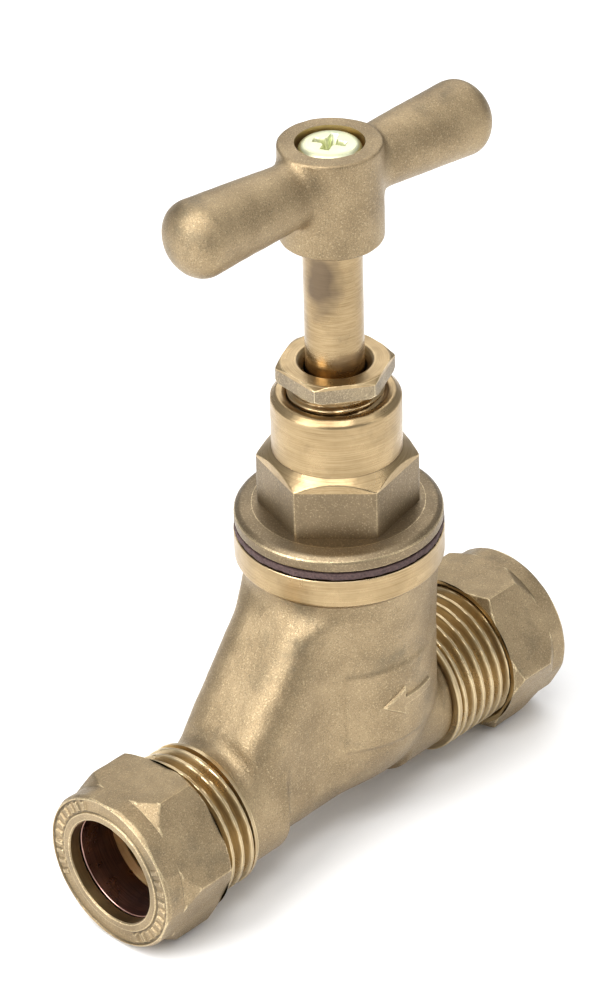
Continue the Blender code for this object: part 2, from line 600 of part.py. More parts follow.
def make_gland_nut():
    """A short threaded neck under a thin hexagon, bored to clear the spindle."""
    root = GLAND_CREST_R - GLAND_THREAD_DEPTH
    corner_r = GLAND_FLATS / math.sqrt(3)
    widest = corner_r + OVERLAP
    neck_top = BONNET_TOP + 2 * GLAND_THREAD_DEPTH
    nut = threaded_rod("gland_nut", GLAND_CREST_R, GLAND_THREAD_DEPTH, GLAND_PITCH, GLAND_BOTTOM,
                       GLAND_BOTTOM, neck_top)
    relief = cylinder("gland_relief", root - OVERLAP, BONNET_TOP, GLAND_TOP - GLAND_HEX_HEIGHT / 2,
                      SMALL_STEPS)
    head = hexagon("gland_hexagon", GLAND_FLATS, GLAND_HEX_BOTTOM, GLAND_TOP, GLAND_CORNER)
    form = turned("gland_hexagon_form", [
        (0, GLAND_HEX_BOTTOM - THROUGH), (corner_r - GLAND_CHAMFER / 3, GLAND_HEX_BOTTOM - THROUGH),
        (widest, GLAND_HEX_BOTTOM + GLAND_CHAMFER / 2), (widest, GLAND_TOP - GLAND_CHAMFER / 2),
        (corner_r - GLAND_CHAMFER, GLAND_TOP), (0, GLAND_TOP + THROUGH)], SMALL_STEPS)
    mouth = GLAND_MOUTH_R - SPINDLE_R - GAP
    bore = turned("gland_bore", [
        (0, GLAND_BOTTOM - THROUGH), (SPINDLE_R + GAP, GLAND_BOTTOM - THROUGH),
        (SPINDLE_R + GAP, GLAND_TOP - mouth),
        (GLAND_MOUTH_R + THROUGH, GLAND_TOP + THROUGH), (0, GLAND_TOP + THROUGH)], SMALL_STEPS)
    combine(head, "INTERSECT", form)
    combine(nut, "UNION", relief, head)
    combine(nut, "DIFFERENCE", bore)
    return finish(nut, *TURNED_BRASS)


# Spindle group

def make_spindle():
    """Threaded foot, plain shank, square end for the crutch head and a tapped hole for its screw."""
    spindle = threaded_rod("spindle", SPINDLE_CREST_R, SPINDLE_THREAD_DEPTH, SPINDLE_PITCH, SPINDLE_FOOT,
                           SPINDLE_FOOT, SPINDLE_THREAD_TOP)
    shank_top = HUB_BOTTOM + HUB_SOCKET - GAP
    shank = cylinder("spindle_shank", SPINDLE_R, SPINDLE_THREAD_TOP - THROUGH, shank_top, SMALL_STEPS)
    square = turned("spindle_square", [
        (0, shank_top - THROUGH), (SQUARE_HALF * math.sqrt(2), shank_top - THROUGH),
        (SQUARE_HALF * math.sqrt(2), SPINDLE_TOP), (0, SPINDLE_TOP)], 4, CRUTCH_TURN + math.radians(45))
    stem_hole = cylinder("stem_hole", JUMPER_STEM_R + GAP, SPINDLE_FOOT - THROUGH,
                         JUMPER_PLATE_TOP + JUMPER_STEM_LENGTH + GAP, SMALL_STEPS)
    screw_hole = cylinder("screw_hole", SCREW_R + GAP, SCREW_HEAD_BOTTOM - SCREW_LENGTH - GAP,
                          SPINDLE_TOP + THROUGH, SMALL_STEPS)
    combine(spindle, "UNION", shank, square)
    combine(spindle, "DIFFERENCE", stem_hole, screw_hole)
    return finish(spindle, *TURNED_BRASS)


def make_crutch_head(spindle):
    """The T handle: a hub with a bar right through it that swells toward its round ends."""
    rim = HUB_CHAMFER / 2
    head = turned("crutch_head", [
        (0, HUB_BOTTOM), (HUB_R - HUB_CHAMFER, HUB_BOTTOM), (HUB_R, HUB_BOTTOM + HUB_CHAMFER),
        (HUB_R, HUB_TOP - rim), (HUB_R - rim, HUB_TOP), (0, HUB_TOP)])
    swell = (BAR_END_R - BAR_MIDDLE_R) / BAR_HALF_LENGTH
    straight = BAR_HALF_LENGTH - BAR_TIP
    widest = BAR_MIDDLE_R + swell * straight
    half = [(BAR_MIDDLE_R, 0)]
    for step in range(BAR_TIP_STEPS):
        turn = math.radians(90) * step / BAR_TIP_STEPS
        half.append((widest * math.cos(turn), straight + BAR_TIP * math.sin(turn)))
    half.append((0, BAR_HALF_LENGTH))
    outline = [(radius, -place) for radius, place in reversed(half[1:])] + half
    lie = Matrix.Translation((0, 0, HUB_TOP - BAR_DROP)) @ Matrix.Rotation(CRUTCH_TURN, 4, "Z") @ TOWARD_INLET
    bar = turned("crutch_bar", outline, SMALL_STEPS, place=lie)
    socket = cylinder("crutch_socket", SPINDLE_R + GAP, HUB_BOTTOM - THROUGH, HUB_BOTTOM + HUB_SOCKET,
                      SMALL_STEPS)
    hole_r = (SQUARE_HALF + GAP) * math.sqrt(2)
    square = turned("crutch_square", [
        (0, HUB_BOTTOM), (hole_r, HUB_BOTTOM), (hole_r, HUB_TOP), (0, HUB_TOP)], 4,
        CRUTCH_TURN + math.radians(45))
    pocket = cylinder("screw_pocket", SCREW_POCKET_R, POCKET_FLOOR, HUB_TOP + THROUGH, SMALL_STEPS)
    combine(head, "UNION", bar)
    combine(head, "DIFFERENCE", socket, square, pocket)
    return finish(head, *CAST_BRASS, parent=spindle)


def make_handle_screw(spindle):
    """A cheese-head screw with a cross recess."""
    top = SCREW_HEAD_BOTTOM + SCREW_HEAD_HEIGHT
    foot = SCREW_HEAD_BOTTOM - SCREW_LENGTH
    screw = turned("handle_screw", [
        (0, foot), (SCREW_R, foot), (SCREW_R, SCREW_HEAD_BOTTOM), (SCREW_HEAD_R, SCREW_HEAD_BOTTOM),
        (SCREW_HEAD_R, top - SCREW_CHAMFER), (SCREW_HEAD_R - SCREW_CHAMFER, top), (0, top)], SMALL_STEPS)
    span = RECESS_SPAN / 2
    width = RECESS_WIDTH / 2
    slot = [(-span, -width), (span, -width), (span, width), (-span, width)]
    for number, angle in enumerate((0, math.radians(90))):
        turn = Matrix.Rotation(angle + CRUTCH_TURN, 4, "Z")
        cutter = extruded(f"screw_slot_{number}", slot, top - RECESS_DEPTH, top + THROUGH, turn)
        combine(screw, "DIFFERENCE", cutter)
    return finish(screw, *PLATED_STEEL, parent=spindle)


def make_jumper():
    """A loose stem that rides in the spindle's foot, with a plate and a stud for the seat washer."""
    stud_bottom = JUMPER_WASHER_BOTTOM - 2 * GAP - JUMPER_NUT_HEIGHT
    jumper = turned("jumper", [
        (0, stud_bottom), (JUMPER_STUD_R, stud_bottom), (JUMPER_STUD_R, JUMPER_PLATE_BOTTOM),
        (JUMPER_PLATE_R, JUMPER_PLATE_BOTTOM), (JUMPER_PLATE_R, JUMPER_PLATE_TOP),
        (JUMPER_STEM_R, JUMPER_PLATE_TOP), (JUMPER_STEM_R, JUMPER_PLATE_TOP + JUMPER_STEM_LENGTH),
        (0, JUMPER_PLATE_TOP + JUMPER_STEM_LENGTH)], SMALL_STEPS)
    return finish(jumper, *TURNED_BRASS)


def make_jumper_washer(jumper):
    bottom = JUMPER_WASHER_BOTTOM
    hole_r = JUMPER_STUD_R + GAP
    washer = turned("jumper_washer", [
        (hole_r, bottom), (JUMPER_WASHER_R, bottom), (JUMPER_WASHER_R, bottom + JUMPER_WASHER_THICKNESS),
        (hole_r, bottom + JUMPER_WASHER_THICKNESS)], SMALL_STEPS)
    return finish(washer, *RUBBER, metallic=0.0, parent=jumper)


def make_jumper_nut(jumper):
    top = JUMPER_WASHER_BOTTOM - GAP
    nut = hexagon("jumper_nut", JUMPER_NUT_FLATS, top - JUMPER_NUT_HEIGHT, top, 0)
    hole = cylinder("jumper_nut_hole", JUMPER_STUD_R + GAP, top - JUMPER_NUT_HEIGHT - THROUGH, top + THROUGH,
                    SMALL_STEPS)
    combine(nut, "DIFFERENCE", hole)
    return finish(nut, *TURNED_BRASS, parent=jumper)


def build():
    for item in list(bpy.data.objects):
        bpy.data.objects.remove(item)
    make_body()
    make_body_washer()
    make_bonnet()
    gland_ring("packing_ring_lower", PACKING_LOWER, PACKING_THICKNESS, *PACKING, 0.0)
    gland_ring("packing_ring_upper", PACKING_UPPER, PACKING_THICKNESS, *PACKING, 0.0)
    gland_ring("gland_washer", GLAND_WASHER_BOTTOM, GLAND_WASHER_THICKNESS, *TURNED_BRASS, 1.0)
    make_gland_nut()
    spindle = make_spindle()
    make_crutch_head(spindle)
    make_handle_screw(spindle)
    jumper = make_jumper()
    make_jumper_washer(jumper)
    make_jumper_nut(jumper)
    compression_nut("outlet_nut", OUTLET_REACH, OUTLET_NUT_CORNER, TOWARD_OUTLET)
    compression_nut("inlet_nut", INLET_REACH, INLET_NUT_CORNER, TOWARD_INLET)
    olive("outlet_olive", OUTLET_REACH, TOWARD_OUTLET)
    olive("inlet_olive", INLET_REACH, TOWARD_INLET)


build()
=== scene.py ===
# %% [markdown]
# # A brass compression stop valve with a crutch head
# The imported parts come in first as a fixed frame. They give every size and place. The pieces made
# below are finer versions of them: a cast body and handle, turned and threaded brass, a fibre washer,
# copper olives and a plated screw. Each piece rides on the body of the part that it stands for.

# %% Load the frame
import math

import bmesh
import bpy
import numpy as np
from mathutils import Matrix, Vector


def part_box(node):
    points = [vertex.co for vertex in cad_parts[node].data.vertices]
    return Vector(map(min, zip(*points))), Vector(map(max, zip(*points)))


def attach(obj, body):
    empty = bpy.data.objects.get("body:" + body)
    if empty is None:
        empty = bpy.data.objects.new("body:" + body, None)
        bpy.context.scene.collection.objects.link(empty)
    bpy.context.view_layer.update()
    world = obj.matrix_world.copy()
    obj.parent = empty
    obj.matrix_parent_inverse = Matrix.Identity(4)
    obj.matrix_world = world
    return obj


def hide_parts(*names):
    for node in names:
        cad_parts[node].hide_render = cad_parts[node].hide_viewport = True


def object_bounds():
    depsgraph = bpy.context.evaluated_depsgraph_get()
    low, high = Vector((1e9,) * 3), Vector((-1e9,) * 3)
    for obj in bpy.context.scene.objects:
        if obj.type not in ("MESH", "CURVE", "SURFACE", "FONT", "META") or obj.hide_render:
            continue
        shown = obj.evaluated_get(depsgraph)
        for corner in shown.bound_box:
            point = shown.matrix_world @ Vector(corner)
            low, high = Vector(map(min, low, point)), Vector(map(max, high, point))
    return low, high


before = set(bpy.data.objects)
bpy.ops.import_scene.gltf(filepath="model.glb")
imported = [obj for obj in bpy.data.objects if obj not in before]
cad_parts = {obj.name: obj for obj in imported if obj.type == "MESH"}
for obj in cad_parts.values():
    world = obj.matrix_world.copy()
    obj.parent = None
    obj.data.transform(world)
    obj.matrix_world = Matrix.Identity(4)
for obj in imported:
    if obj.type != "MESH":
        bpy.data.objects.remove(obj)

MM = 0.001
TURN = math.tau
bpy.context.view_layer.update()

# %% [markdown]
# ## Outlines
# Turned parts come off a lathe, so each starts as an outline of radius against height. A real lathe
# tool never leaves a razor edge, and a sharp corner catches no light. Each corner is therefore eased
# with a small curve before the outline is spun.

# %% Ease an outline and fill in its long sides


def eased(outline, ease=0.15, steps=5, closed=False):
    """Round every corner of an outline of (radius, height) points.

    A corner P becomes the curve (1-t)^2 A + 2t(1-t) P + t^2 B. A and B lie on the two sides, one easing
    length away from P, or 0.45 of the side where the side is short.
    """
    points = np.array(outline, float)
    before = np.roll(points, 1, axis=0)
    after = np.roll(points, -1, axis=0)
    if not closed:
        before[0], after[-1] = points[0], points[-1]

    def toward(other):
        side = other - points
        length = np.maximum(np.linalg.norm(side, axis=1, keepdims=True), 1e-6)
        return points + side / length * np.minimum(ease, 0.45 * length)

    t = np.linspace(0, 1, steps)[None, :, None]
    start, end = toward(before)[:, None], toward(after)[:, None]
    curve = (1 - t) ** 2 * start + 2 * t * (1 - t) * points[:, None] + t**2 * end
    return curve.reshape(-1, 2)


def dense(points, step=0.4):
    """Add points along an outline so that none are further apart than the step.

    Distance along the outline is the running sum of its sides. Radius and height are read off at the
    old distances and at every multiple of the step.
    """
    sides = np.linalg.norm(np.diff(points, axis=0), axis=1)
    along = np.concatenate([[0], np.cumsum(sides)])
    stations = np.unique(np.round(np.concatenate([along, np.arange(0, along[-1], step)]), 3))
    return np.stack([np.interp(stations, along, points[:, axis]) for axis in (0, 1)], axis=1)


print("an eased square corner has", len(eased([(0, 0), (1, 0), (1, 1)])), "points")

# %% [markdown]
# ## From outline to mesh
# Spinning an outline gives a grid: one row for each outline point and one column for each angle. Bent
# threads and hexagons fit in the same grid, because they only change the radius at each angle and
# height. So one function builds every turned part, and a shaper changes the plain radius where needed.

# %% Build meshes from grids

AXES = {
    "up": Matrix.Identity(4),
    "outlet": Matrix.Rotation(math.radians(-90), 4, "Y"),
    "inlet": Matrix.Rotation(math.radians(90), 4, "Y"),
}


def mark_edges(mesh):
    """Store how sharply the surface turns at each point, for wear on edges and dirt in grooves.

    The turn is the mean, over the neighbours q of a point p, of n . (p - q) / |p - q|^2 in 1/mm. It is
    above zero on an outer edge and below zero in a groove. One round of averaging spreads it.
    """
    count = len(mesh.vertices)
    place = np.empty(count * 3)
    normal = np.empty(count * 3)
    ends = np.empty(len(mesh.edges) * 2, int)
    mesh.vertices.foreach_get("co", place)
    mesh.vertices.foreach_get("normal", normal)
    mesh.edges.foreach_get("vertices", ends)
    place, normal = place.reshape(-1, 3) / MM, normal.reshape(-1, 3)
    a, b = ends.reshape(-1, 2).T
    side = place[a] - place[b]
    square = (side**2).sum(1) + 1e-6
    number = np.maximum(np.bincount(ends, minlength=count), 1)
    turn = np.bincount(a, (normal[a] * side).sum(1) / square, count)
    turn -= np.bincount(b, (normal[b] * side).sum(1) / square, count)
    turn /= number
    turn = (turn + (np.bincount(a, turn[b], count) + np.bincount(b, turn[a], count)) / number) / 2
    for name, sign in (("edge", 1), ("groove", -1)):
        layer = mesh.attributes.new(name, "FLOAT", "POINT")
        layer.data.foreach_set("value", np.clip(sign * turn, 0, 4).astype(np.float32))


def add_piece(name, points, faces, finishes, face_finish=None):
    """Turn points in mm and quads into a closed, outward-facing, smooth-shaded object."""
    mesh = bpy.data.meshes.new(name)
    mesh.from_pydata((points * MM).tolist(), [], faces.tolist())
    for finish in finishes:
        mesh.materials.append(finish)
    if face_finish is not None:
        mesh.polygons.foreach_set("material_index", face_finish.astype(np.int32))
    work = bmesh.new()
    work.from_mesh(mesh)
    bmesh.ops.remove_doubles(work, verts=work.verts, dist=0.0002 * MM)
    bmesh.ops.recalc_face_normals(work, faces=work.faces)
    work.to_mesh(mesh)
    work.free()
    piece = bpy.data.objects.new(name, mesh)
    bpy.context.scene.collection.objects.link(piece)
    return piece


def polish(piece, crease=32):
    """Smooth the shading except at sharp corners, and mark edges and grooves."""
    piece.data.shade_smooth()
    piece.data.set_sharp_from_angle(angle=math.radians(crease))
    mark_edges(piece.data)
    return piece


def grid_faces(rows, columns, closed):
    """Quads between neighbouring rows and columns, numbered row by row. Columns always wrap round."""
    row = np.arange(rows if closed else rows - 1)[:, None]
    column = np.arange(columns)[None, :]
    low, high = row * columns, (row + 1) % rows * columns
    beside = (column + 1) % columns
    return np.stack(np.broadcast_arrays(low + column, low + beside, high + beside, high + column),
                    -1).reshape(-1, 4)


def column_angles(columns=180, corner=None):
    """Evenly spread angles, with a few more close to a hexagon's corners in degrees."""
    angles = np.arange(columns) * 360 / columns
    if corner is not None:
        near = np.array([-3.2, -2.2, -1.4, -0.7, 0, 0.7, 1.4, 2.2, 3.2])
        angles = np.concatenate([angles, (corner + 60 * np.arange(6)[:, None] + near).ravel() % 360])
    return np.radians(np.unique(np.round(angles, 2)))


def turned(name, sections, finishes, axis="up", angles=None, closed=True, uneven=0.0):
    """Spin outlines into one piece: a point is (r cos a, r sin a, h) about the axis.

    A section is an outline, a shaper or None, and the number of its finish. The shaper takes the
    radius, height and angle and gives the new radius and height.
    """
    angles = column_angles() if angles is None else angles
    grids, finish_rows = [], []
    for outline, shaper, finish in sections:
        radius, height = outline[:, :1], outline[:, 1:]
        if shaper is not None:
            radius, height = shaper(radius, height, angles[None, :])
        shape = (len(outline), len(angles))
        radius, height = np.broadcast_to(radius, shape), np.broadcast_to(height, shape)
        grids.append(np.stack([radius * np.cos(angles), radius * np.sin(angles), height], -1))
        finish_rows += [finish] * len(outline)
    grid = np.concatenate(grids)
    faces = grid_faces(len(grid), len(angles), closed)
    points = grid.reshape(-1, 3)
    if uneven:
        from_axis = np.maximum(np.linalg.norm(points[:, :2], axis=1), 1)
        points[:, :2] *= 1 + uneven * (ripple(points) / from_axis)[:, None]
    points = points @ np.array(AXES[axis].to_3x3()).T
    rows = np.array(finish_rows if closed else finish_rows[:-1])
    piece = add_piece(name, points, faces, finishes, np.repeat(rows, len(angles)))
    return polish(piece)


def ripple(points, size=3.0, seed=4):
    """Gentle unevenness between about -1 and 1: the mean of eight sine waves in random directions."""
    random = np.random.default_rng(seed)
    waves = random.normal(size=(3, 8))
    waves *= TURN / size / np.linalg.norm(waves, axis=0) * random.uniform(0.6, 1.6, 8)
    return np.sin(points @ waves + random.uniform(0, TURN, 8)).mean(1) * 2


print("a 3 by 4 grid has", len(grid_faces(3, 4, False)), "quads")

# %% [markdown]
# ## Threads and hexagons
# A thread is a groove that climbs one pitch in each turn. At an angle a and a height h the groove has
# gone through h / pitch - a / turn turns, so that number alone says whether the spot is on a crest or
# in a root. A hexagon is a radius too: the distance to a flat, over the cosine of the angle from it.

# %% Shape threads and hexagons

THREAD_TWIST = math.radians(2)


def soft_min(a, b, blend):
    """The lower of two values, with the crossing rounded over a band as wide as blend.

    With s = 0.5 + (b - a) / (2 blend) held between 0 and 1, it is b + s (a - b) - blend s (1 - s).
    """
    share = np.clip(0.5 + 0.5 * (b - a) / blend, 0, 1)
    return b + share * (a - b) - blend * share * (1 - share)


def soft_max(a, b, blend):
    """The higher of two values, rounded where they cross."""
    return -soft_min(-a, -b, blend)


def thread_height(height, angle, pitch, datum):
    """From 0 at a thread's root to 1 at its crest, with flat tops and smooth flanks."""
    turns = (height - datum) / pitch - (angle - THREAD_TWIST) / TURN
    away = np.abs((turns - 0.185) % 1 - 0.5)
    rise = np.clip((0.415 - away) / 0.31, 0, 1)
    return 0.5 * rise + 0.5 * rise**2 * (3 - 2 * rise)


def male(core, depth, pitch, datum):
    """Cut a thread into a rod: the radius is the outline's, or that of the thread where it is lower."""
    def shape(radius, height, angle):
        return np.minimum(radius, core + depth * thread_height(height, angle, pitch, datum)), height
    return shape


def female(core, depth, pitch, datum):
    """Cut a thread into a hole: the radius is the outline's, or that of the thread where it is higher."""
    def shape(radius, height, angle):
        return np.maximum(radius, core + depth * thread_height(height, angle, pitch, datum)), height
    return shape


def six_sided(flats, corner, blend=0.35):
    """Trim an outline to a hexagon across the flats given, with one corner at that many degrees."""
    def shape(radius, height, angle):
        from_flat = (angle - math.radians(corner)) % (TURN / 6) - TURN / 12
        flat = flats / 2 / np.cos(from_flat)
        flat = soft_min(flat, flats / math.sqrt(3) - 0.06, blend)
        return soft_min(radius, flat, 0.12), height
    return shape


print("crest and root:", thread_height(np.array([0.685, 0.185]), THREAD_TWIST, 1.0, 0.0))

# %% [markdown]
# ## Materials
# Every brass part here is the same alloy in different states. Sand-cast skin is dull, fine grained and
# a little stained. Turned faces are yellower, with fine rings from the tool. Edges that rub are
# brighter, and grooves hold dirt. Each finish is a node tree that reads Object coordinates in
# millimetres, and the edge and groove values stored on the mesh.

# %% Small helpers for node trees


def add_node(tree, kind, inputs=None, **settings):
    """Add a node, set it up, and fill or link its inputs by name or number."""
    node = tree.nodes.new(kind)
    for key, value in settings.items():
        setattr(node, key, value)
    for key, value in (inputs or {}).items():
        if isinstance(value, bpy.types.NodeSocket):
            tree.links.new(value, node.inputs[key])
        else:
            node.inputs[key].default_value = value
    return node


def sums(tree, operation, *values):
    """A Math node on one or two values."""
    return add_node(tree, "ShaderNodeMath", dict(enumerate(values)), operation=operation).outputs[0]


def share_of(tree, value, low, high, to_low=0.0, to_high=1.0):
    """Map a value from low..high to to_low..to_high, held at both ends."""
    return add_node(tree, "ShaderNodeMapRange", {0: value, 1: low, 2: high, 3: to_low, 4: to_high}).outputs[0]


def noise(tree, where, scale, detail=3.0, roughness=0.55):
    """Cloudy noise; scale is in features per millimetre."""
    return add_node(tree, "ShaderNodeTexNoise", {
        "Vector": where, "Scale": scale, "Detail": detail, "Roughness": roughness}).outputs[0]


def mix_colour(tree, share, first, second):
    """The first colour where the share is 0, and the second where it is 1."""
    node = add_node(tree, "ShaderNodeMix", {0: share}, data_type="RGBA")
    for socket, value in ((node.inputs[6], first), (node.inputs[7], second)):
        if isinstance(value, bpy.types.NodeSocket):
            tree.links.new(value, socket)
        else:
            socket.default_value = (*value, 1.0)
    return node.outputs[2]


def stored(tree, name):
    """A value stored on the mesh."""
    return add_node(tree, "ShaderNodeAttribute", attribute_name=name).outputs["Fac"]


def millimetres(tree):
    """Object coordinates in millimetres."""
    place = add_node(tree, "ShaderNodeTexCoord").outputs["Object"]
    return add_node(tree, "ShaderNodeVectorMath", {0: place, 1: (1 / MM,) * 3},
                    operation="MULTIPLY").outputs[0]


def ring_marks(tree, where, along, scale=9.0):
    """Noise drawn out into rings about an axis: it changes with radius and height, hardly with angle."""
    parts = add_node(tree, "ShaderNodeSeparateXYZ", {0: where}).outputs
    up = {"X": 0, "Z": 2}[along]
    across = [parts[number] for number in range(3) if number != up]
    radius = sums(tree, "SQRT", sums(tree, "ADD", *[sums(tree, "MULTIPLY", p, p) for p in across]))
    angle = sums(tree, "ARCTAN2", *across)
    rings = add_node(tree, "ShaderNodeCombineXYZ", {
        0: sums(tree, "MULTIPLY", radius, scale), 1: sums(tree, "MULTIPLY", angle, 1.2),
        2: sums(tree, "MULTIPLY", parts[up], scale)}).outputs[0]
    return noise(tree, rings, 1.0, 2.0)


def bumped(tree, height, depth, strength=1.0, under=None):
    """A bump as deep as given in mm."""
    inputs = {"Height": height, "Distance": depth * MM, "Strength": strength}
    if under is not None:
        inputs["Normal"] = under
    return add_node(tree, "ShaderNodeBump", inputs).outputs[0]


def start_finish(name, metallic):
    """A material with its tree, its shader and its coordinates."""
    material = bpy.data.materials.new(name)
    material.use_nodes = True
    tree = material.node_tree
    shader = tree.nodes["Principled BSDF"]
    shader.inputs["Metallic"].default_value = metallic
    return material, tree, shader, millimetres(tree)


# %% [markdown]
# ### Cast skin
# Molten brass takes the grain of the sand. The skin is a dull tan with grains a fifth of a millimetre
# across, some of which glint. Handling leaves grey-green smudges and polishes the corners. Both are
# masks over the same base.

# %% Make the cast finish


def cast_finish(name, pale, dark, bright, stain, grain=0.06, smudge=0.42):
    material, tree, shader, where = start_finish(name, 1.0)
    cloud = noise(tree, where, 0.16, 4.0)
    fine = noise(tree, where, 4.2, 3.0, 0.7)
    grit = noise(tree, where, 8.5, 2.0, 0.6)
    colour = mix_colour(tree, share_of(tree, cloud, 0.35, 0.65), dark, pale)
    colour = mix_colour(tree, share_of(tree, fine, 0.54, 0.70, 0.0, 0.38), colour, bright)
    colour = mix_colour(tree, share_of(tree, grit, 0.47, 0.34, 0.0, 0.6), colour, stain)
    patch = share_of(tree, noise(tree, where, 0.11, 5.0, 0.62), 0.56, 0.70, 0.0, smudge)
    colour = mix_colour(tree, patch, colour, stain)
    on_edge = share_of(tree, stored(tree, "edge"), 0.35, 1.3)
    worn = sums(tree, "MULTIPLY", on_edge, share_of(tree, fine, 0.3, 0.6))
    colour = mix_colour(tree, sums(tree, "MULTIPLY", worn, 0.8), colour, bright)
    colour = mix_colour(tree, share_of(tree, stored(tree, "groove"), 0.25, 1.2, 0.0, 0.6), colour, stain)
    tree.links.new(colour, shader.inputs["Base Color"])
    rough = share_of(tree, fine, 0.3, 0.7, 0.50, 0.34)
    rough = sums(tree, "SUBTRACT", rough, sums(tree, "MULTIPLY", worn, 0.12))
    tree.links.new(rough, shader.inputs["Roughness"])
    coarse = bumped(tree, noise(tree, where, 0.9, 2.0), 0.03)
    middle = bumped(tree, fine, grain, under=coarse)
    tree.links.new(bumped(tree, grit, 0.6 * grain, under=middle), shader.inputs["Normal"])
    return material


CAST = cast_finish("sand_cast_brass", (0.40, 0.30, 0.175), (0.285, 0.21, 0.12), (0.86, 0.70, 0.43),
                   (0.10, 0.09, 0.065))
print("made", CAST.name)

# %% [markdown]
# ### Turned and drawn brass
# Faces cut on the lathe show fine rings and a yellower metal. The drawn spindle is smoother, with
# faint marks and a brown tide line. Copper, fibre, packing, rubber and the plated screw follow the
# same pattern with their own numbers.

# %% Make the turned finishes


def turned_finish(name, pale, deep, bright, stain, along="Z", rough=0.30, marks=0.012, tarnish=0.3):
    material, tree, shader, where = start_finish(name, 1.0)
    rings = ring_marks(tree, where, along)
    cloud = noise(tree, where, 0.22, 4.0)
    speck = noise(tree, where, 2.4, 3.0, 0.6)
    colour = mix_colour(tree, share_of(tree, cloud, 0.35, 0.68), pale, deep)
    colour = mix_colour(tree, share_of(tree, rings, 0.35, 0.65, 0.0, 0.25), colour, bright)
    patch = share_of(tree, noise(tree, where, 0.30, 5.0, 0.65), 0.56, 0.74, 0.0, tarnish)
    colour = mix_colour(tree, patch, colour, stain)
    colour = mix_colour(tree, share_of(tree, speck, 0.66, 0.74, 0.0, tarnish), colour, stain)
    colour = mix_colour(tree, share_of(tree, stored(tree, "edge"), 0.4, 1.6, 0.0, 0.7), colour, bright)
    colour = mix_colour(tree, share_of(tree, stored(tree, "groove"), 0.4, 2.0, 0.0, 0.65), colour, stain)
    tree.links.new(colour, shader.inputs["Base Color"])
    roughness = share_of(tree, cloud, 0.3, 0.7, rough - 0.05, rough + 0.08)
    roughness = sums(tree, "ADD", roughness, sums(tree, "MULTIPLY", patch, 0.3))
    tree.links.new(roughness, shader.inputs["Roughness"])
    under = bumped(tree, noise(tree, where, 0.7, 3.0), 0.04)
    tree.links.new(bumped(tree, rings, marks, under=under), shader.inputs["Normal"])
    return material


BRIGHT_BRASS = (0.72, 0.56, 0.33)
STAIN = (0.20, 0.15, 0.09)
TURNED = turned_finish("lathe_turned_brass", (0.40, 0.285, 0.15), (0.30, 0.21, 0.105), BRIGHT_BRASS, STAIN,
                       rough=0.28)
THREAD = turned_finish("thread_brass", (0.44, 0.335, 0.20), (0.34, 0.25, 0.14), (0.86, 0.71, 0.43), STAIN,
                       "X", 0.28)
DRAWN = turned_finish("drawn_brass", (0.34, 0.24, 0.125), (0.26, 0.18, 0.09), BRIGHT_BRASS, STAIN, rough=0.22)
BORED = turned_finish("bored_brass", (0.50, 0.37, 0.19), (0.42, 0.30, 0.14), (0.72, 0.56, 0.30), STAIN, "X",
                      0.34)
COPPER = turned_finish("olive_copper", (0.235, 0.125, 0.115), (0.18, 0.095, 0.09), (0.80, 0.50, 0.42),
                       (0.06, 0.04, 0.04), "X", 0.30)
STEEL = turned_finish("plated_screw", (0.72, 0.72, 0.46), (0.62, 0.66, 0.46), (0.90, 0.90, 0.66),
                      (0.07, 0.07, 0.075), rough=0.34)

# %% Make the soft finishes


def dull_finish(name, first, second, scale, roughness, depth):
    """A non-metal with two tones of mottle and a matching bump."""
    material, tree, shader, where = start_finish(name, 0.0)
    mottle = noise(tree, where, scale, 4.0, 0.65)
    colour = mix_colour(tree, share_of(tree, mottle, 0.35, 0.65), first, second)
    tree.links.new(colour, shader.inputs["Base Color"])
    rough = share_of(tree, mottle, 0.3, 0.7, roughness - 0.08, roughness + 0.08)
    tree.links.new(rough, shader.inputs["Roughness"])
    tree.links.new(bumped(tree, mottle, depth), shader.inputs["Normal"])
    return material


FIBRE = dull_finish("vulcanised_fibre", (0.040, 0.022, 0.022), (0.115, 0.068, 0.062), 3.4, 0.85, 0.10)
PACKING = dull_finish("graphite_packing", (0.55, 0.53, 0.48), (0.36, 0.34, 0.31), 2.0, 0.85, 0.10)
RUBBER = dull_finish("black_rubber", (0.012, 0.012, 0.013), (0.03, 0.03, 0.03), 4.0, 0.7, 0.02)
print("finishes:", len(bpy.data.materials))

# %% [markdown]
# ## Cast shapes
# A casting has no drawn surfaces: a barrel, a run and a ridge melt into each other with soft fillets.
# The form is written as one distance function, below zero inside the metal, and the smooth minimum of
# two shapes makes the fillet between them. Rays from one inner point find the skin by halving. A voxel
# remesh then spreads the points evenly, and each point slides down the distance to the exact skin.

# %% Find the skin of a distance function


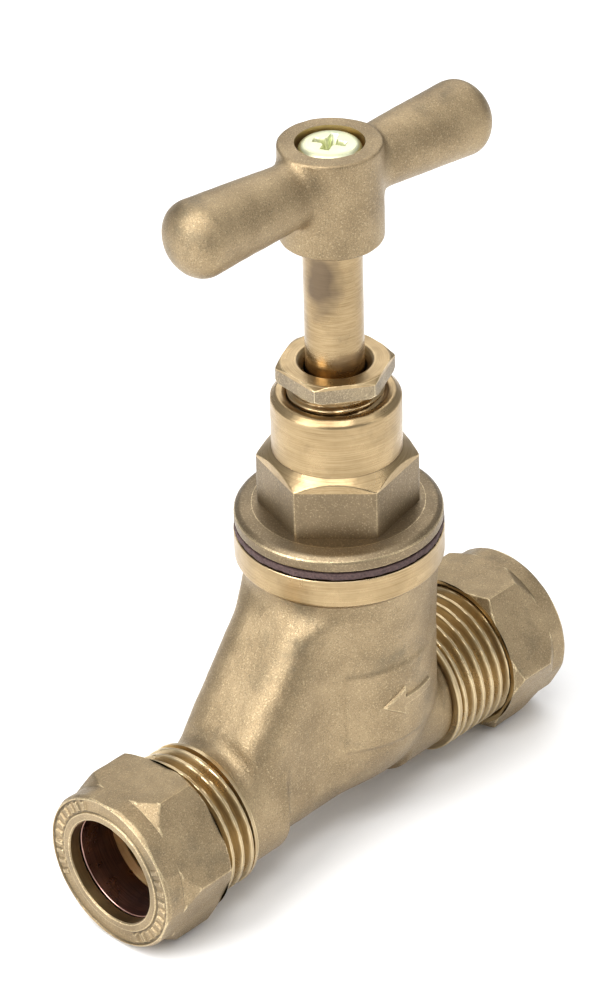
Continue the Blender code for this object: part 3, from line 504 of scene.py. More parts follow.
def cast_skin(name, distance, centre, reach, voxel, finish, lie=0.0, rows=220, columns=300):
    """An evenly meshed closed skin where the distance function is zero.

    Rays leave the centre at polar angle u from the lying axis and angle v about it. The distance along
    each ray is halved 26 times between 0 and reach, which suits a form that each ray leaves once.
    """
    polar = np.linspace(0, math.pi, rows)[:, None]
    about = np.arange(columns)[None, :] * TURN / columns
    along = np.broadcast_to(np.cos(polar), (rows, columns))
    rays = np.stack([along, np.sin(polar) * np.cos(about), np.sin(polar) * np.sin(about)], -1).reshape(-1, 3)
    swing = np.array(Matrix.Rotation(lie, 3, "Z"))
    rays = rays @ swing.T
    low, high = np.zeros(len(rays)), np.full(len(rays), float(reach))
    for _ in range(26):
        middle = (low + high) / 2
        inside = distance(centre + rays * middle[:, None]) < 0
        low, high = np.where(inside, middle, low), np.where(inside, high, middle)
    rough = add_piece(f"{name}_rough", centre + rays * low[:, None], grid_faces(rows, columns, False),
                      [finish])
    remesh = rough.modifiers.new("even", "REMESH")
    remesh.mode = "VOXEL"
    remesh.voxel_size = voxel * MM
    return slide_to_skin(name, rough, distance, finish)


def slide_to_skin(name, rough, distance, finish):
    """Take the remeshed blank and move each point p to p - d n, five times.

    d is the distance function at p, and n is its slope, measured over a thousandth of a millimetre.
    """
    mesh = bpy.data.meshes.new_from_object(rough.evaluated_get(bpy.context.evaluated_depsgraph_get()))
    bpy.data.objects.remove(rough)
    place = np.empty(len(mesh.vertices) * 3)
    mesh.vertices.foreach_get("co", place)
    points = place.reshape(-1, 3) / MM
    nudge = np.eye(3) * 0.001
    for _ in range(5):
        here = distance(points)
        slope = np.stack([(distance(points + side) - here) / 0.001 for side in nudge], -1)
        points = points - 0.8 * here[:, None] * slope / np.maximum((slope**2).sum(1), 0.2)[:, None]
    mesh.vertices.foreach_set("co", (points * MM).ravel())
    mesh.name = name
    mesh.materials.clear()
    mesh.materials.append(finish)
    mesh.update()
    piece = bpy.data.objects.new(name, mesh)
    bpy.context.scene.collection.objects.link(piece)
    return piece


def bored(piece, finish, *cutters):
    """Cut holes out of a casting. The walls of the holes keep the cutters' finish."""
    piece.data.materials.append(finish)
    for cutter in cutters:
        cut = piece.modifiers.new(cutter.name, "BOOLEAN")
        cut.operation = "DIFFERENCE"
        cut.solver = "MANIFOLD"
        cut.object = cutter
    mesh = bpy.data.meshes.new_from_object(piece.evaluated_get(bpy.context.evaluated_depsgraph_get()))
    piece.modifiers.clear()
    piece.data = mesh
    for cutter in cutters:
        bpy.data.objects.remove(cutter)
    return piece


def settle(piece, body, slot, *nodes):
    """Ride on a body, stand for the nodes, and compare sizes with them. The slot is not used."""
    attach(piece, body)
    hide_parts(*nodes)
    corners = np.array([vertex.co for vertex in piece.data.vertices])
    low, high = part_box(nodes[0])
    off = [(corners.min(0) - low), (high - Vector(corners.max(0)))]
    print(piece.name, "faces", len(piece.data.polygons), "inside the part by mm",
          [round(float(gap) / MM, 2) for side in off for gap in side])
    return piece


# %% [markdown]
# ## The body
# The body is one casting: a barrel with a round bowl, a flat-sided run with a slanted ridge over the
# rising waterway, a collar at each end, and a thin raised pad on the front. The holes are drilled
# after casting, so they are cut here afterwards too.

# %% Cast the body

BARREL_R, BARREL_TOP_R, BOWL_CENTRE = 12.4, 13.0, 6.0
RING_BOTTOM, BODY_TOP = 29.35, 33.25
RUN_HALF = 8.0
COLLAR_R = 9.4
OUTLET_LAND, INLET_LAND = 27.3, 12.3


def body_distance(points):
    """Barrel, run and collars joined with soft minimums, and the pad pushed out of the barrel."""
    x, y, z = points.T
    round_r = np.hypot(x, y)
    wall_r = BARREL_R + (BARREL_TOP_R - BARREL_R) * np.clip((z - 17) / 11.2, 0, 1)
    barrel = np.where(z < BOWL_CENTRE, np.sqrt(round_r**2 + (z - BOWL_CENTRE) ** 2) - BARREL_R,
                      round_r - wall_r)
    angle = np.degrees(np.arctan2(y, x)) + 90
    beside = soft_max((np.abs(angle) - 45) * 0.22, soft_max(z - 16.7, 4.0 - z, 0.3), 0.3)
    barrel = barrel - 0.28 * np.clip(0.5 - beside / 0.7, 0, 1) ** 1.5
    barrel = np.maximum(barrel, z - RING_BOTTOM + 0.7)
    side = np.where(z < 0, np.hypot(y, z), np.abs(y)) - RUN_HALF
    slant = ((x + 25.9) * -16.6 + (z - 8.4) * 12.2) / 20.6
    toe = ((x + 25.9) * -4.5 + (z - 8.4) * -1.4) / 4.71
    ends = soft_max(soft_max(-24.5 - x, x - 9.0, 1), z - 25, 1)
    run = soft_max(soft_max(slant, side, 5.3), soft_max(ends, toe, 2.0), 1.2)
    form = soft_min(barrel, run, 3.0)
    pipe = np.hypot(y, z) - COLLAR_R
    outlet = soft_max(pipe, soft_max(-OUTLET_LAND - x, x + 20, 0.3), 0.4)
    inlet = soft_max(pipe, soft_max(x - INLET_LAND, 4 - x, 0.3), 0.4)
    form = soft_min(soft_min(form, outlet, 1.6), inlet, 1.6)
    return form + 0.03 * ripple(points, 6.0, 2) + 0.01 * ripple(points, 2.2, 5)


SEAT_R, CHAMBER_R, STUB_R, STUB_BOTTOM, SEAT_TOP = 6.0, 10.0, 10.9, 24.0, 9.0
SOCKET_R, WATERWAY_R = 7.6, 6.4
OUTLET_FACE, INLET_FACE = 45.0, 34.1
PASSAGE_HALF, SOCKET_DEPTH, MOUTH_DEPTH, MOUTH_R = 6.0, 12.2, 2.6, 8.75


def drill(name, outline, axis="up"):
    """A cutter: a closed turned shape that starts and ends on its axis."""
    return turned(name, [(np.array(outline, float), None, 0)], [BORED], axis, column_angles(96), closed=False)


def side_passage():
    """The slanted waterway under the ridge: an outline in the XZ plane given its half width."""
    outline = np.array([(-23.9, 6.9), (-23.9, -4.4), (-14.2, -4.4), (-9.6, 8.1), (-7.9, 8.1), (-7.9, 23.5),
                        (-11.7, 23.5)])
    outline = eased(outline, 0.8, 4, closed=True)
    sides = (-PASSAGE_HALF, PASSAGE_HALF)
    sheets = [np.stack([outline[:, 0], np.full(len(outline), side), outline[:, 1]], -1) for side in sides]
    middle = outline.mean(0)
    caps = [np.tile([middle[0], side, middle[1]], (len(outline), 1)) for side in sides]
    grid = np.stack([caps[0], sheets[0], sheets[1], caps[1]])
    return add_piece("side_passage", grid.reshape(-1, 3), grid_faces(4, len(outline), False), [BORED])


casting = cast_skin("body_casting", body_distance, np.array([-4.0, 0.0, 9.0]), 45, 0.26, CAST)
casting = bored(
    casting, BORED,
    drill("chamber",
          [(0, 1), (SEAT_R, 1), (SEAT_R, SEAT_TOP), (SEAT_R + 1.5, SEAT_TOP), (SEAT_R + 2, 8),
           (CHAMBER_R, 8), (CHAMBER_R, 23.7), (STUB_R + 0.3, 24.9), (STUB_R + 0.3, 40), (0, 40)]),
    side_passage(),
    drill("outlet_drill",
          [(0, 16.5), (WATERWAY_R, 20), (WATERWAY_R, 26.4), (SOCKET_R + 0.1, 26.4), (SOCKET_R + 0.1, 40),
           (0, 40)], "outlet"),
    drill("inlet_drill", [(0, -10.5), (WATERWAY_R, -7), (WATERWAY_R, 11.5), (WATERWAY_R + 0.1, 11.5),
                          (WATERWAY_R + 0.1, 40), (0, 40)], "inlet"))
polish(casting, 40)
settle(casting, "valve", "cast_brass", "body")

# %% [markdown]
# The top of the barrel is skimmed on a lathe. That leaves a bright band with a chamfer under it and a
# flat face for the washer. It is a separate turned piece, because its finish and its crisp edges
# differ from the casting.

# %% Turn the ring on top of the barrel

ring_outline = eased([
    (STUB_R + 0.3, RING_BOTTOM - 1.6), (BARREL_TOP_R + 0.02, RING_BOTTOM - 1.15), (14.2, RING_BOTTOM),
    (14.2, BODY_TOP), (STUB_R + 0.3, BODY_TOP)], 0.16, closed=True)
ring = turned("body_ring", [(dense(ring_outline), None, 0)], [TURNED], uneven=0.01)
settle(ring, "valve", "cast_brass", "body")

# %% [markdown]
# Each end of the body has a threaded neck. The thread runs into a plain land where the die stopped.
# Seen along the pipe axis it is one closed ring: thread outside, the socket for the tube inside, and
# a cone in the mouth that the olive is squeezed into.

# %% Cut the threaded necks

NECK_CREST, NECK_DEPTH, NECK_PITCH = 10.45, 1.15, 1.814


def threaded_neck(name, axis, land, end):
    core = NECK_CREST - NECK_DEPTH
    inner = land - 0.9
    plain = eased([(SOCKET_R + 0.05, inner), (COLLAR_R - 0.3, inner), (COLLAR_R - 0.3, land),
                   (NECK_CREST - 0.15, land), (NECK_CREST, land + 0.15), (NECK_CREST, land + 0.7)], 0.1)
    crest = np.array([(NECK_CREST, land + 0.7), (NECK_CREST, end - 1.2), (core - 0.1, end)])
    socket_floor = end - SOCKET_DEPTH
    if socket_floor > inner:
        foot = [(SOCKET_R, socket_floor), (WATERWAY_R, socket_floor), (WATERWAY_R, inner), (SOCKET_R, inner)]
    else:
        foot = [(SOCKET_R, inner), (SOCKET_R + 0.05, inner)]
    mouth = eased([(core - 0.1, end), (MOUTH_R, end), (SOCKET_R, end - MOUTH_DEPTH), *foot], 0.08)
    sections = [(plain, None, 0), (dense(crest, 0.09), male(core, NECK_DEPTH, NECK_PITCH, end), 0),
                (dense(mouth, 0.8), None, 1)]
    return turned(name, sections, [THREAD, BORED], axis, column_angles(200))


outlet_neck = threaded_neck("outlet_neck", "outlet", OUTLET_LAND, 38.6)
inlet_neck = threaded_neck("inlet_neck", "inlet", INLET_LAND, 27.7)
for neck in (outlet_neck, inlet_neck):
    settle(neck, "valve", "cast_brass", "body")

# %% [markdown]
# The pad carries a raised arrow that shows which way water flows. It is a sheet bent round the barrel,
# pushed out where the arrow is and sunk under the pad elsewhere, then given a thickness.

# %% Raise the flow arrow

ARROW_HEIGHT, ARROW_HALF = 10.6, 4.5


def arrow_distance(across, up):
    """Distance outside an arrow that points to minus across: the nearer of a triangle and a shaft."""
    head = np.maximum(np.abs(up) * 0.84 - (across + ARROW_HALF) * 0.54, across + ARROW_HALF - 3.6)
    shaft = np.maximum(np.abs(up) - 0.7, np.abs(across - 0.9) - 3.6)
    return soft_min(head, shaft, 0.3)


def flow_arrow():
    across = np.linspace(-5.2, 5.2, 150)[None, :]
    up = np.linspace(-3.0, 3.0, 90)[:, None]
    rise = np.clip(0.5 - arrow_distance(across, up) / 0.45, 0, 1)
    radius = BARREL_R + 0.12 + 0.5 * rise**2 * (3 - 2 * rise)
    angle = across / BARREL_R - math.pi / 2
    grid = np.stack(np.broadcast_arrays(radius * np.cos(angle), radius * np.sin(angle), up + ARROW_HEIGHT),
                    -1)
    rows, columns = grid.shape[:2]
    number = np.arange(rows * columns).reshape(rows, columns)
    faces = np.stack([number[:-1, :-1], number[:-1, 1:], number[1:, 1:], number[1:, :-1]], -1).reshape(-1, 4)
    piece = add_piece("flow_arrow", grid.reshape(-1, 3), faces, [CAST])
    if piece.data.polygons[0].normal.y > 0:
        piece.data.flip_normals()
    wall = piece.modifiers.new("wall", "SOLIDIFY")
    wall.thickness = 0.4 * MM
    wall.offset = -1
    return polish(piece, 60)


settle(flow_arrow(), "valve", "cast_brass", "body")

# %% [markdown]
# ## The head work
# A fibre washer seals the head to the body. It is punched from sheet, so its rim is a little ragged
# and it squeezes out unevenly between the two flanges.

# %% Punch the fibre washer


def ragged(radius, height, angle):
    """Push the rim in and out by up to about a tenth of a millimetre at three wave lengths."""
    rim = np.clip((radius - 13.0) / 1.0, 0, 1)
    wave = 0.045 * np.sin(13 * angle) + 0.04 * np.sin(31 * angle + 1) + 0.035 * np.sin(67 * angle + 2)
    return radius + rim * wave, height + 0.02 * np.sin(17 * angle + radius)


washer_outline = eased([(STUB_R + 0.3, 33.5), (14.1, 33.5), (14.1, 34.4), (STUB_R + 0.3, 34.4)], 0.12,
                       closed=True)
fibre_ring = turned("fibre_ring", [(dense(washer_outline), ragged, 0)], [FIBRE], angles=column_angles(360))
settle(fibre_ring, "valve", "fibre", "body_washer")

# %% [markdown]
# The bonnet starts as a hot stamping and is then turned. Its flange and the flats of its hexagon keep
# the stamped skin. The cylinder, the chamfer over the hexagon and the mouth are turned and bright. In
# one grid this only means that rows differ in finish.

# %% Make the bonnet

FORGED = cast_finish("forged_brass", (0.25, 0.188, 0.113), (0.19, 0.142, 0.085), (0.70, 0.56, 0.34),
                     (0.17, 0.14, 0.10), grain=0.025, smudge=0.25)
FLANGE_TOP, HEX_TOP, BONNET_TOP, BONNET_R, SHOULDER = 37.0, 45.9, 54.4, 8.74, 38.8
PACKING_FLOOR, GLAND_SEAT = 44.5, 48.6
GLAND_CREST, GLAND_DEPTH, GLAND_PITCH, GLAND_FOOT = 6.48, 0.6, 1.5, 49.6
SPINDLE_CREST, SPINDLE_DEPTH, SPINDLE_PITCH, SPINDLE_FOOT = 5.4, 0.9, 2.0, 22.0
SPINDLE_R, PLAY = 3.92, 0.3


def make_bonnet():
    bonnet_hex = six_sided(19.0, 12.0, 0.3)
    stub = eased([(5.4, STUB_BOTTOM), (10.2, STUB_BOTTOM), (STUB_R, 24.7), (STUB_R, 34.65), (13.9, 34.65)],
                 0.1)
    flange = eased([(13.9, 34.65), (14.1, 34.8), (14.1, 36.1), (13.35, 36.72), (11.6, FLANGE_TOP),
                    (11.1, FLANGE_TOP)], 0.3)
    flats = dense(np.array([(11.03, FLANGE_TOP + 0.03), (11.03, 44.0)]), 0.5)
    chamfer = dense(np.array([(11.03, 44.0), (BONNET_R, HEX_TOP)]), 0.12)
    tower = eased([(BONNET_R, HEX_TOP), (BONNET_R, 53.6), (7.9, BONNET_TOP), (7.0, BONNET_TOP), (6.2, 53.6)],
                  0.3)
    gland_hole = dense(np.array([(6.2, 53.6), (6.13, 53.5), (6.13, GLAND_SEAT)]), 0.1)
    box = eased([(6.08, GLAND_SEAT), (6.08, PACKING_FLOOR), (SPINDLE_R + PLAY, PACKING_FLOOR),
                 (SPINDLE_R + PLAY, SHOULDER), (5.7, SHOULDER), (5.7, 34.0)], 0.1)
    spindle_hole = dense(np.array([(4.75, 34.0), (4.75, 24.7), (5.4, STUB_BOTTOM)]), 0.12)
    return turned("bonnet_head", [
        (dense(stub, 1.0), None, 0), (dense(flange, 0.3), None, 1), (flats, bonnet_hex, 1),
        (chamfer, bonnet_hex, 0),
        (dense(tower, 0.5), None, 0),
        (gland_hole, female(6.13, GLAND_DEPTH, GLAND_PITCH, GLAND_FOOT), 2),
        (dense(box, 1.0), None, 2),
        (spindle_hole, female(4.75, SPINDLE_DEPTH, SPINDLE_PITCH, SPINDLE_FOOT), 2)],
        [TURNED, FORGED, BORED], angles=column_angles(192, 12.0), uneven=0.01)


settle(make_bonnet(), "valve", "turned_brass", "bonnet")

# %% [markdown]
# The gland nut is a thin hexagon on a short threaded neck. Spanners have rubbed its corners bright, and
# its sides are dark. It turns, so it rides on its own body.

# %% Make the gland nut

GLAND_SIDES = cast_finish("gland_sides", (0.36, 0.285, 0.18), (0.24, 0.19, 0.13), (0.92, 0.78, 0.52),
                          (0.10, 0.085, 0.06), grain=0.03, smudge=0.6)


def make_gland_nut():
    thread = dense(np.array([(5.8, GLAND_FOOT), (GLAND_CREST, 50.3), (GLAND_CREST, 54.9), (5.85, 55.5)]), 0.1)
    neck = eased([(5.85, 55.5), (5.83, 56.5), (7.0, 56.5)], 0.1)
    sides = eased([(7.0, 56.5), (7.75, 56.5), (8.13, 56.95), (8.13, 58.45)], 0.1)
    top = eased([(8.13, 58.45), (7.1, 59.0), (5.15, 59.0), (4.85, 58.75), (SPINDLE_R + PLAY, 57.9),
                 (SPINDLE_R + PLAY, GLAND_FOOT), (5.8, GLAND_FOOT)], 0.12)
    corners = six_sided(14.0, 24.0, 0.25)
    return turned("gland_nut_hex", [
        (thread, male(GLAND_CREST - GLAND_DEPTH, GLAND_DEPTH, GLAND_PITCH, GLAND_FOOT), 0),
        (dense(neck), None, 0),
        (dense(sides, 0.15), corners, 1), (dense(top, 0.15), corners, 0)],
        [TURNED, GLAND_SIDES], angles=column_angles(192, 24.0), uneven=0.012)


settle(make_gland_nut(), "gland_nut_group", "turned_brass", "gland_nut")

# %% [markdown]
# ## The spindle
# The spindle is drawn bar. Its shank is smooth, its foot has the lifting thread, and its top is filed
# square for the handle. A dark brown oval down the left front of the upper shank is painted shade, and a
# thin brown tide line just above the gland nut is a real stain. Each is a soft oval in Object
# coordinates, so it turns with the spindle.

# %% Make the spindle


def add_stain_and_painted_shade(material, centre, size, colour, strength):
    """Darken an oval: its edge is where the distance from the centre, in sizes, is about one."""
    tree = material.node_tree
    shader = tree.nodes["Principled BSDF"]
    where = millimetres(tree)
    from_centre = add_node(tree, "ShaderNodeVectorMath", {0: where, 1: centre},
                           operation="SUBTRACT").outputs[0]
    scaled = add_node(tree, "ShaderNodeVectorMath", {0: from_centre, 1: size}, operation="DIVIDE").outputs[0]
    away = add_node(tree, "ShaderNodeVectorMath", {0: scaled}, operation="LENGTH").outputs["Value"]
    away = sums(tree, "ADD", away, share_of(tree, noise(tree, where, 0.35, 2.0), 0.3, 0.7, -0.22, 0.22))
    share = share_of(tree, away, 1.3, 0.6, 0.0, strength)
    before = shader.inputs["Base Color"].links[0].from_socket
    tree.links.new(mix_colour(tree, share, before, colour), shader.inputs["Base Color"])
    rough = shader.inputs["Roughness"].links[0].from_socket
    tree.links.new(sums(tree, "ADD", rough, sums(tree, "MULTIPLY", share, 0.2)), shader.inputs["Roughness"])


def squared(radius, height, angle):
    """Trim the top of the spindle to a square of 5 mm, turned with the handle."""
    from_flat = (angle - CRUTCH_TURN + TURN / 8) % (TURN / 4) - TURN / 8
    return np.minimum(radius, 2.5 / np.cos(from_flat)), height


CRUTCH_TURN = math.radians(-3.4)
# Painted shade: a dark brown oval down the left front of the upper shank, standing in for its shaded side.
add_stain_and_painted_shade(DRAWN, (-3.6, -1.2, 72.5), (2.4, 2.4, 4.6), (0.13, 0.095, 0.065), 0.85)
# A real brown tide line just above the gland nut.
add_stain_and_painted_shade(DRAWN, (-1.2, -3.6, 60.3), (3.2, 2.2, 1.3), (0.20, 0.13, 0.07), 0.6)


def make_spindle():
    foot = eased([(0, 30.8), (2.6, 30.8), (2.6, SPINDLE_FOOT), (4.4, SPINDLE_FOOT)], 0.1)
    thread = dense(np.array([(4.4, SPINDLE_FOOT), (SPINDLE_CREST, 23.0), (SPINDLE_CREST, 37.0),
                             (4.4, 38.0)]), 0.12)
    shank = eased([(4.4, 38.0), (SPINDLE_R, 38.0), (SPINDLE_R, 79.0), (3.55, 79.0)], 0.1)
    head = eased([(3.55, 79.0), (3.55, 88.3), (2.05, 88.3), (2.05, 80.6), (0, 80.6)], 0.1)
    return turned("spindle_rod", [
        (foot, None, 0),
        (thread, male(SPINDLE_CREST - SPINDLE_DEPTH, SPINDLE_DEPTH, SPINDLE_PITCH, SPINDLE_FOOT), 0),
        (dense(shank, 1.0), None, 0), (dense(head, 0.8), squared, 0)],
        [DRAWN], angles=column_angles(144), closed=False)


settle(make_spindle(), "spindle_group", "turned_brass", "spindle")

# %% [markdown]
# ## The crutch head
# The handle is another sand casting: a hub with a bar through it that is thinnest where it meets the
# hub and swells toward round ends. The bar and the hub run together in wide fillets, and the hub's top
# is skimmed flat.

# %% Cast the handle

HUB_R, HUB_BOTTOM, HUB_TOP = 6.8, 77.3, 91.0
BAR_HEIGHT, BAR_HALF, BAR_TIP = 85.9, 26.2, 3.8
BAR_THIN, BAR_THICK = 3.8, 5.4


def handle_distance(points):
    """A rounded hub and a flared bar joined with a soft minimum, cut flat on top."""
    x, y, z = points.T
    along = np.abs(x * math.cos(CRUTCH_TURN) + y * math.sin(CRUTCH_TURN))
    across = -x * math.sin(CRUTCH_TURN) + y * math.cos(CRUTCH_TURN)
    swell = (BAR_THICK - BAR_THIN) / BAR_HALF
    straight = BAR_HALF - BAR_TIP
    bar_r = BAR_THIN + swell * np.minimum(along, straight)
    past = np.maximum(along - straight, 0) / BAR_TIP * bar_r
    bar = (np.hypot(across, z - BAR_HEIGHT) ** 2.1 + past**2.1) ** (1 / 2.1) - bar_r
    middle = (HUB_TOP + HUB_BOTTOM) / 2
    hub = soft_max(np.hypot(x, y) - HUB_R, np.abs(z - middle) - (HUB_TOP - HUB_BOTTOM) / 2, 0.45)
    form = soft_min(hub, bar, 1.5)
    form = soft_max(form, z - HUB_TOP, 0.35)
    return form + 0.03 * ripple(points, 7.0, 11) + 0.01 * ripple(points, 2.4, 12)


handle = cast_skin("crutch_handle", handle_distance, np.array([0.0, 0.0, BAR_HEIGHT - 1]), 40, 0.22, CAST,
                   CRUTCH_TURN, 360, 240)
bored(handle, BORED,
      drill("hub_socket",
            [(0, 70), (SPINDLE_R + PLAY, 70), (SPINDLE_R + PLAY, 79.3), (2.8, 79.3), (2.8, 87.5), (0, 87.5)]),
      drill("screw_pocket", [(0, 87), (2.8, 87), (2.8, 88.6), (4.53, 88.6), (4.53, 93), (0, 93)]))
polish(handle, 40)
settle(handle, "spindle_group", "cast_brass", "crutch_head")

# %% [markdown]
# A cross-head screw holds the handle. The recess is pressed into the head, so its sides slope. It is
# made by lowering the rows of the flat top where they fall inside a cross.

# %% Make the handle screw

SCREW_R, SCREW_TOP = 4.15, 90.9


def cross_recess(radius, height, angle):
    """Lower the head by 1.7 mm inside a cross of two tapered slots and a middle hole."""
    x = np.abs(radius * np.cos(angle - CRUTCH_TURN - 0.5))
    y = np.abs(radius * np.sin(angle - CRUTCH_TURN - 0.5))
    long, short = np.maximum(x, y), np.minimum(x, y)
    slot = np.clip((0.62 - short) / 0.3, 0, 1) * np.clip((2.25 - long) / 0.8, 0, 1)
    middle = np.clip((1.15 - np.hypot(x, y)) / 0.5, 0, 1)
    on_top = np.clip((height - SCREW_TOP + 0.6) / 0.2, 0, 1)
    return radius, height - 1.7 * np.maximum(slot, middle) * on_top


def make_screw():
    shank = eased([(0, 80.9), (1.75, 80.9), (1.75, 88.9), (SCREW_R, 88.9)], 0.1)
    dome = eased([(SCREW_R, 88.9), (SCREW_R, SCREW_TOP - 0.75), (SCREW_R - 0.7, SCREW_TOP - 0.12),
                  (2.4, SCREW_TOP), (0, SCREW_TOP)], 0.5)
    return turned("handle_screw_pan", [(dense(shank), None, 0), (dense(dome, 0.07), cross_recess, 0)],
                  [STEEL], closed=False)


settle(make_screw(), "spindle_group", "passivated_steel", "handle_screw")

# %% [markdown]
# ## The compression ends
# Each nut is a hot stamping: a hexagon with a round collar at its face, bored and tapped. The flats
# meet the collar's slope in soft arcs. The face has a sunk band with plain raised bars, where a maker
# would stamp a mark. The olive is a soft copper ring that shows inside the hole.

# %% Make the nuts and olives


def marked_face(face, arcs):
    """Raise bars 3 degrees wide every 9 degrees on the sunk band, within the arcs given in degrees."""
    def shape(radius, height, angle):
        turned_by = np.degrees(angle) % 360
        within = np.zeros_like(angle)
        for first, last in arcs:
            inside = np.clip(turned_by - first, 0, 1) * np.clip(last - turned_by, 0, 1)
            within = np.maximum(within, inside)
        bar = np.clip((2.6 - np.abs((turned_by + 4.5) % 9 - 4.5)) / 1.1, 0, 1)
        band = np.clip((radius - 9.05) / 0.2, 0, 1) * np.clip((10.55 - radius) / 0.2, 0, 1)
        lift = 0.24 * bar * band * within * (height > face - 0.4)
        return radius, height + lift
    return shape


def make_nut(name, axis, face, corner, arcs):
    back = face - 11.3
    hexagon = six_sided(22.0, corner, 0.3)
    inner_face = eased([(10.75, back), (11.3, back)], 0.1)
    stamped = eased([(11.3, back), (11.45, back + 0.03), (12.76, back + 1.0), (12.76, face - 5.1),
                     (11.3, face - 2.8)], 0.25)
    collar = eased([(11.3, face - 2.8), (11.3, face - 0.45), (10.95, face), (10.8, face)], 0.2)
    rim = eased([(10.8, face), (10.7, face - 0.26), (8.9, face - 0.26), (8.75, face), (7.8, face),
                 (7.6, face - 0.2)], 0.08)
    bore = eased([(7.6, face - 0.2), (7.6, face - 1.8), (8.1, face - 1.8), (10.75, face - 5.0),
                  (10.75, face - 5.6)], 0.08)
    thread = dense(np.array([(9.55, face - 5.6), (9.55, back + 1.0), (10.75, back)]), 0.1)
    return turned(name, [
        (inner_face, None, 1), (dense(stamped, 0.2), hexagon, 0), (dense(collar, 0.3), hexagon, 0),
        (dense(rim, 0.12), marked_face(face, arcs), 0), (dense(bore, 0.5), None, 2),
        (thread, female(9.55, NECK_DEPTH, NECK_PITCH, face - 6.4), 2)],
        [CAST, TURNED_X, BORED], axis, column_angles(240, corner), uneven=0.03)


def make_olive(name, axis, face):
    middle = face - 1.8 - 0.3 - 2.8
    outline = eased([(7.55, middle - 2.8), (7.9, middle - 2.8), (8.5, middle - 0.6), (8.5, middle + 0.6),
                     (7.9, middle + 2.8), (7.55, middle + 2.8)], 0.12, closed=True)
    return turned(name, [(dense(outline), None, 0)], [COPPER], axis)


TURNED_X = turned_finish("turned_brass_end", (0.64, 0.49, 0.27), (0.58, 0.43, 0.21), BRIGHT_BRASS, STAIN, "X")
outlet_nut = make_nut("outlet_nut_hex", "outlet", OUTLET_FACE, 34.9, [(20, 120), (200, 300)])
inlet_nut = make_nut("inlet_nut_hex", "inlet", INLET_FACE, 27.4, [(20, 120), (200, 300)])
settle(outlet_nut, "outlet_nut_group", "cast_brass", "outlet_nut")
settle(inlet_nut, "inlet_nut_group", "cast_brass", "inlet_nut")
settle(make_olive("outlet_olive_ring", "outlet", OUTLET_FACE), "outlet_ring", "copper", "outlet_olive")
settle(make_olive("inlet_olive_ring", "inlet", INLET_FACE), "inlet_ring", "copper", "inlet_olive")

# %% [markdown]
# ## Parts that stay as they are
# The rings in the stuffing box and the jumper are hidden inside and have plain shapes. They keep
# their meshes and only get finishes.

# %% Finish the hidden parts

for node, finish in (("gland_washer", TURNED), ("packing_ring_lower", PACKING),
                     ("packing_ring_upper", PACKING), ("jumper", TURNED),
                     ("jumper_washer", RUBBER), ("jumper_nut", TURNED)):
    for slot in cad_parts[node].material_slots:
        slot.material = finish
print("finished in place:", 6)

# %% [markdown]
# ## The studio
# A pale floor lies under the lowest nut corner. Metal only shows what is around it, so soft light from
# large panels matters more than strong light: a tall panel to the left, a wider weaker one to the
# right, one overhead and one behind for the faces that look up, in a grey room that leaves darker
# strips between them.

# %% Set the floor, lights and room

floor_mesh = bpy.data.meshes.new("floor")
FLOOR_HALF = 3.0
floor_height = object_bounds()[0].z - 0.02 * MM
floor_mesh.from_pydata([(-FLOOR_HALF, -FLOOR_HALF, floor_height), (FLOOR_HALF, -FLOOR_HALF, floor_height),
                        (FLOOR_HALF, FLOOR_HALF, floor_height), (-FLOOR_HALF, FLOOR_HALF, floor_height)], [],
                       [(0, 1, 2, 3)])
floor = bpy.data.objects.new("floor", floor_mesh)
bpy.context.scene.collection.objects.link(floor)
paper = bpy.data.materials.new("paper")
paper.use_nodes = True
paper.node_tree.nodes["Principled BSDF"].inputs["Base Color"].default_value = (0.97, 0.97, 0.97, 1)
paper.node_tree.nodes["Principled BSDF"].inputs["Roughness"].default_value = 0.9
floor_mesh.materials.append(paper)

AIM = Vector((-7.16, 0.0, 40.375)) * MM


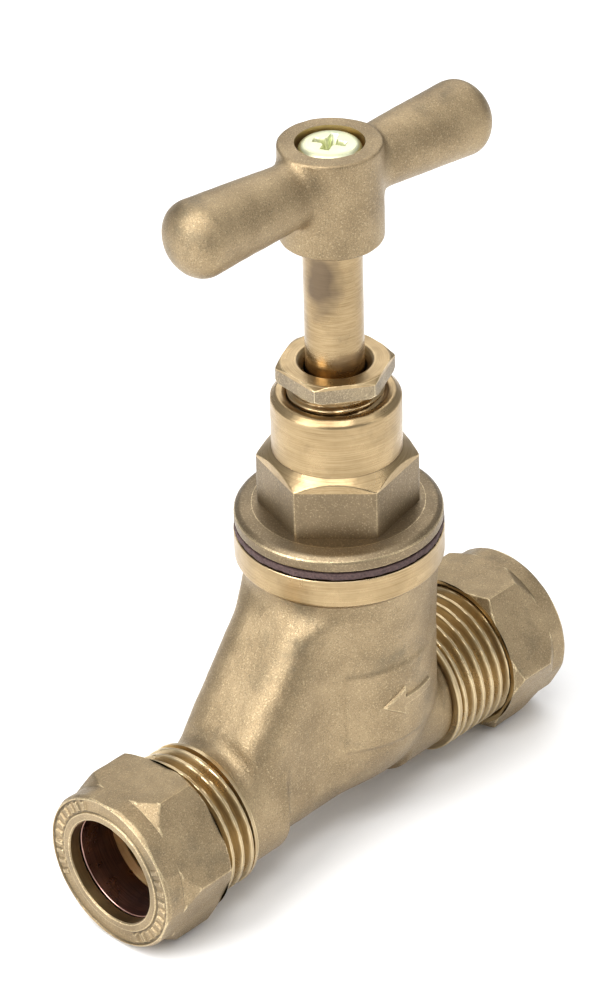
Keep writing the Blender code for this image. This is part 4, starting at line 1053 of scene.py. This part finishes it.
def panel(name, azimuth, elevation, distance, width, height, power):
    """A soft light panel that faces the valve; azimuth 0 is in front, on the -Y side."""
    a, e = math.radians(azimuth), math.radians(elevation)
    out = Vector((math.sin(a) * math.cos(e), -math.cos(a) * math.cos(e), math.sin(e)))
    light = bpy.data.lights.new(name, "AREA")
    light.shape, light.size, light.size_y, light.energy = "RECTANGLE", width, height, power
    lamp = bpy.data.objects.new(name, light)
    lamp.location = AIM + out * distance
    lamp.rotation_euler = out.to_track_quat("Z", "Y").to_euler()
    bpy.context.scene.collection.objects.link(lamp)
    return lamp


panel("left_panel", -100, 38, 0.7, 0.36, 0.8, 6.2)
panel("front_panel", -35, 66, 0.8, 0.26, 0.26, 1.6)
panel("right_panel", 25, 25, 0.8, 0.25, 0.7, 0.9)
panel("top_panel", 60, 84, 0.9, 1.3, 1.3, 4.2)
panel("back_panel", 135, 38, 0.9, 0.9, 0.5, 2.2)
room = bpy.data.worlds.new("room")
room.use_nodes = True
room.node_tree.nodes["Background"].inputs["Color"].default_value = (1.0, 1.0, 1.0, 1)
room.node_tree.nodes["Background"].inputs["Strength"].default_value = 0.44
bpy.context.scene.world = room
bpy.context.scene.view_settings.view_transform = "Standard"

# %% [markdown]
# ## The camera
# A long lens from above the outlet end, turned a little on its axis. Its frame is worked out from the
# direction back to the eye, the direction to the right, and the roll.

# %% Place the camera

CAMERA_DISTANCE = 513.461
azimuth, elevation, roll = math.radians(-44.933), math.radians(33.212), math.radians(-1.758)
back = Vector((math.sin(azimuth) * math.cos(elevation), -math.cos(azimuth) * math.cos(elevation),
               math.sin(elevation)))
level = Vector((math.cos(azimuth), math.sin(azimuth), 0))
upward = back.cross(level)
right = math.cos(roll) * level + math.sin(roll) * upward
top = math.cos(roll) * upward - math.sin(roll) * level
lens = bpy.data.cameras.new("camera")
lens.sensor_width, lens.lens = 36.0, 139.947
lens.clip_start, lens.clip_end = 0.01, 20
camera = bpy.data.objects.new("camera", lens)
facing = Matrix((right, top, back)).transposed().to_4x4()
camera.matrix_world = Matrix.Translation(AIM + back * CAMERA_DISTANCE * MM) @ facing
bpy.context.scene.collection.objects.link(camera)
bpy.context.scene.camera = camera
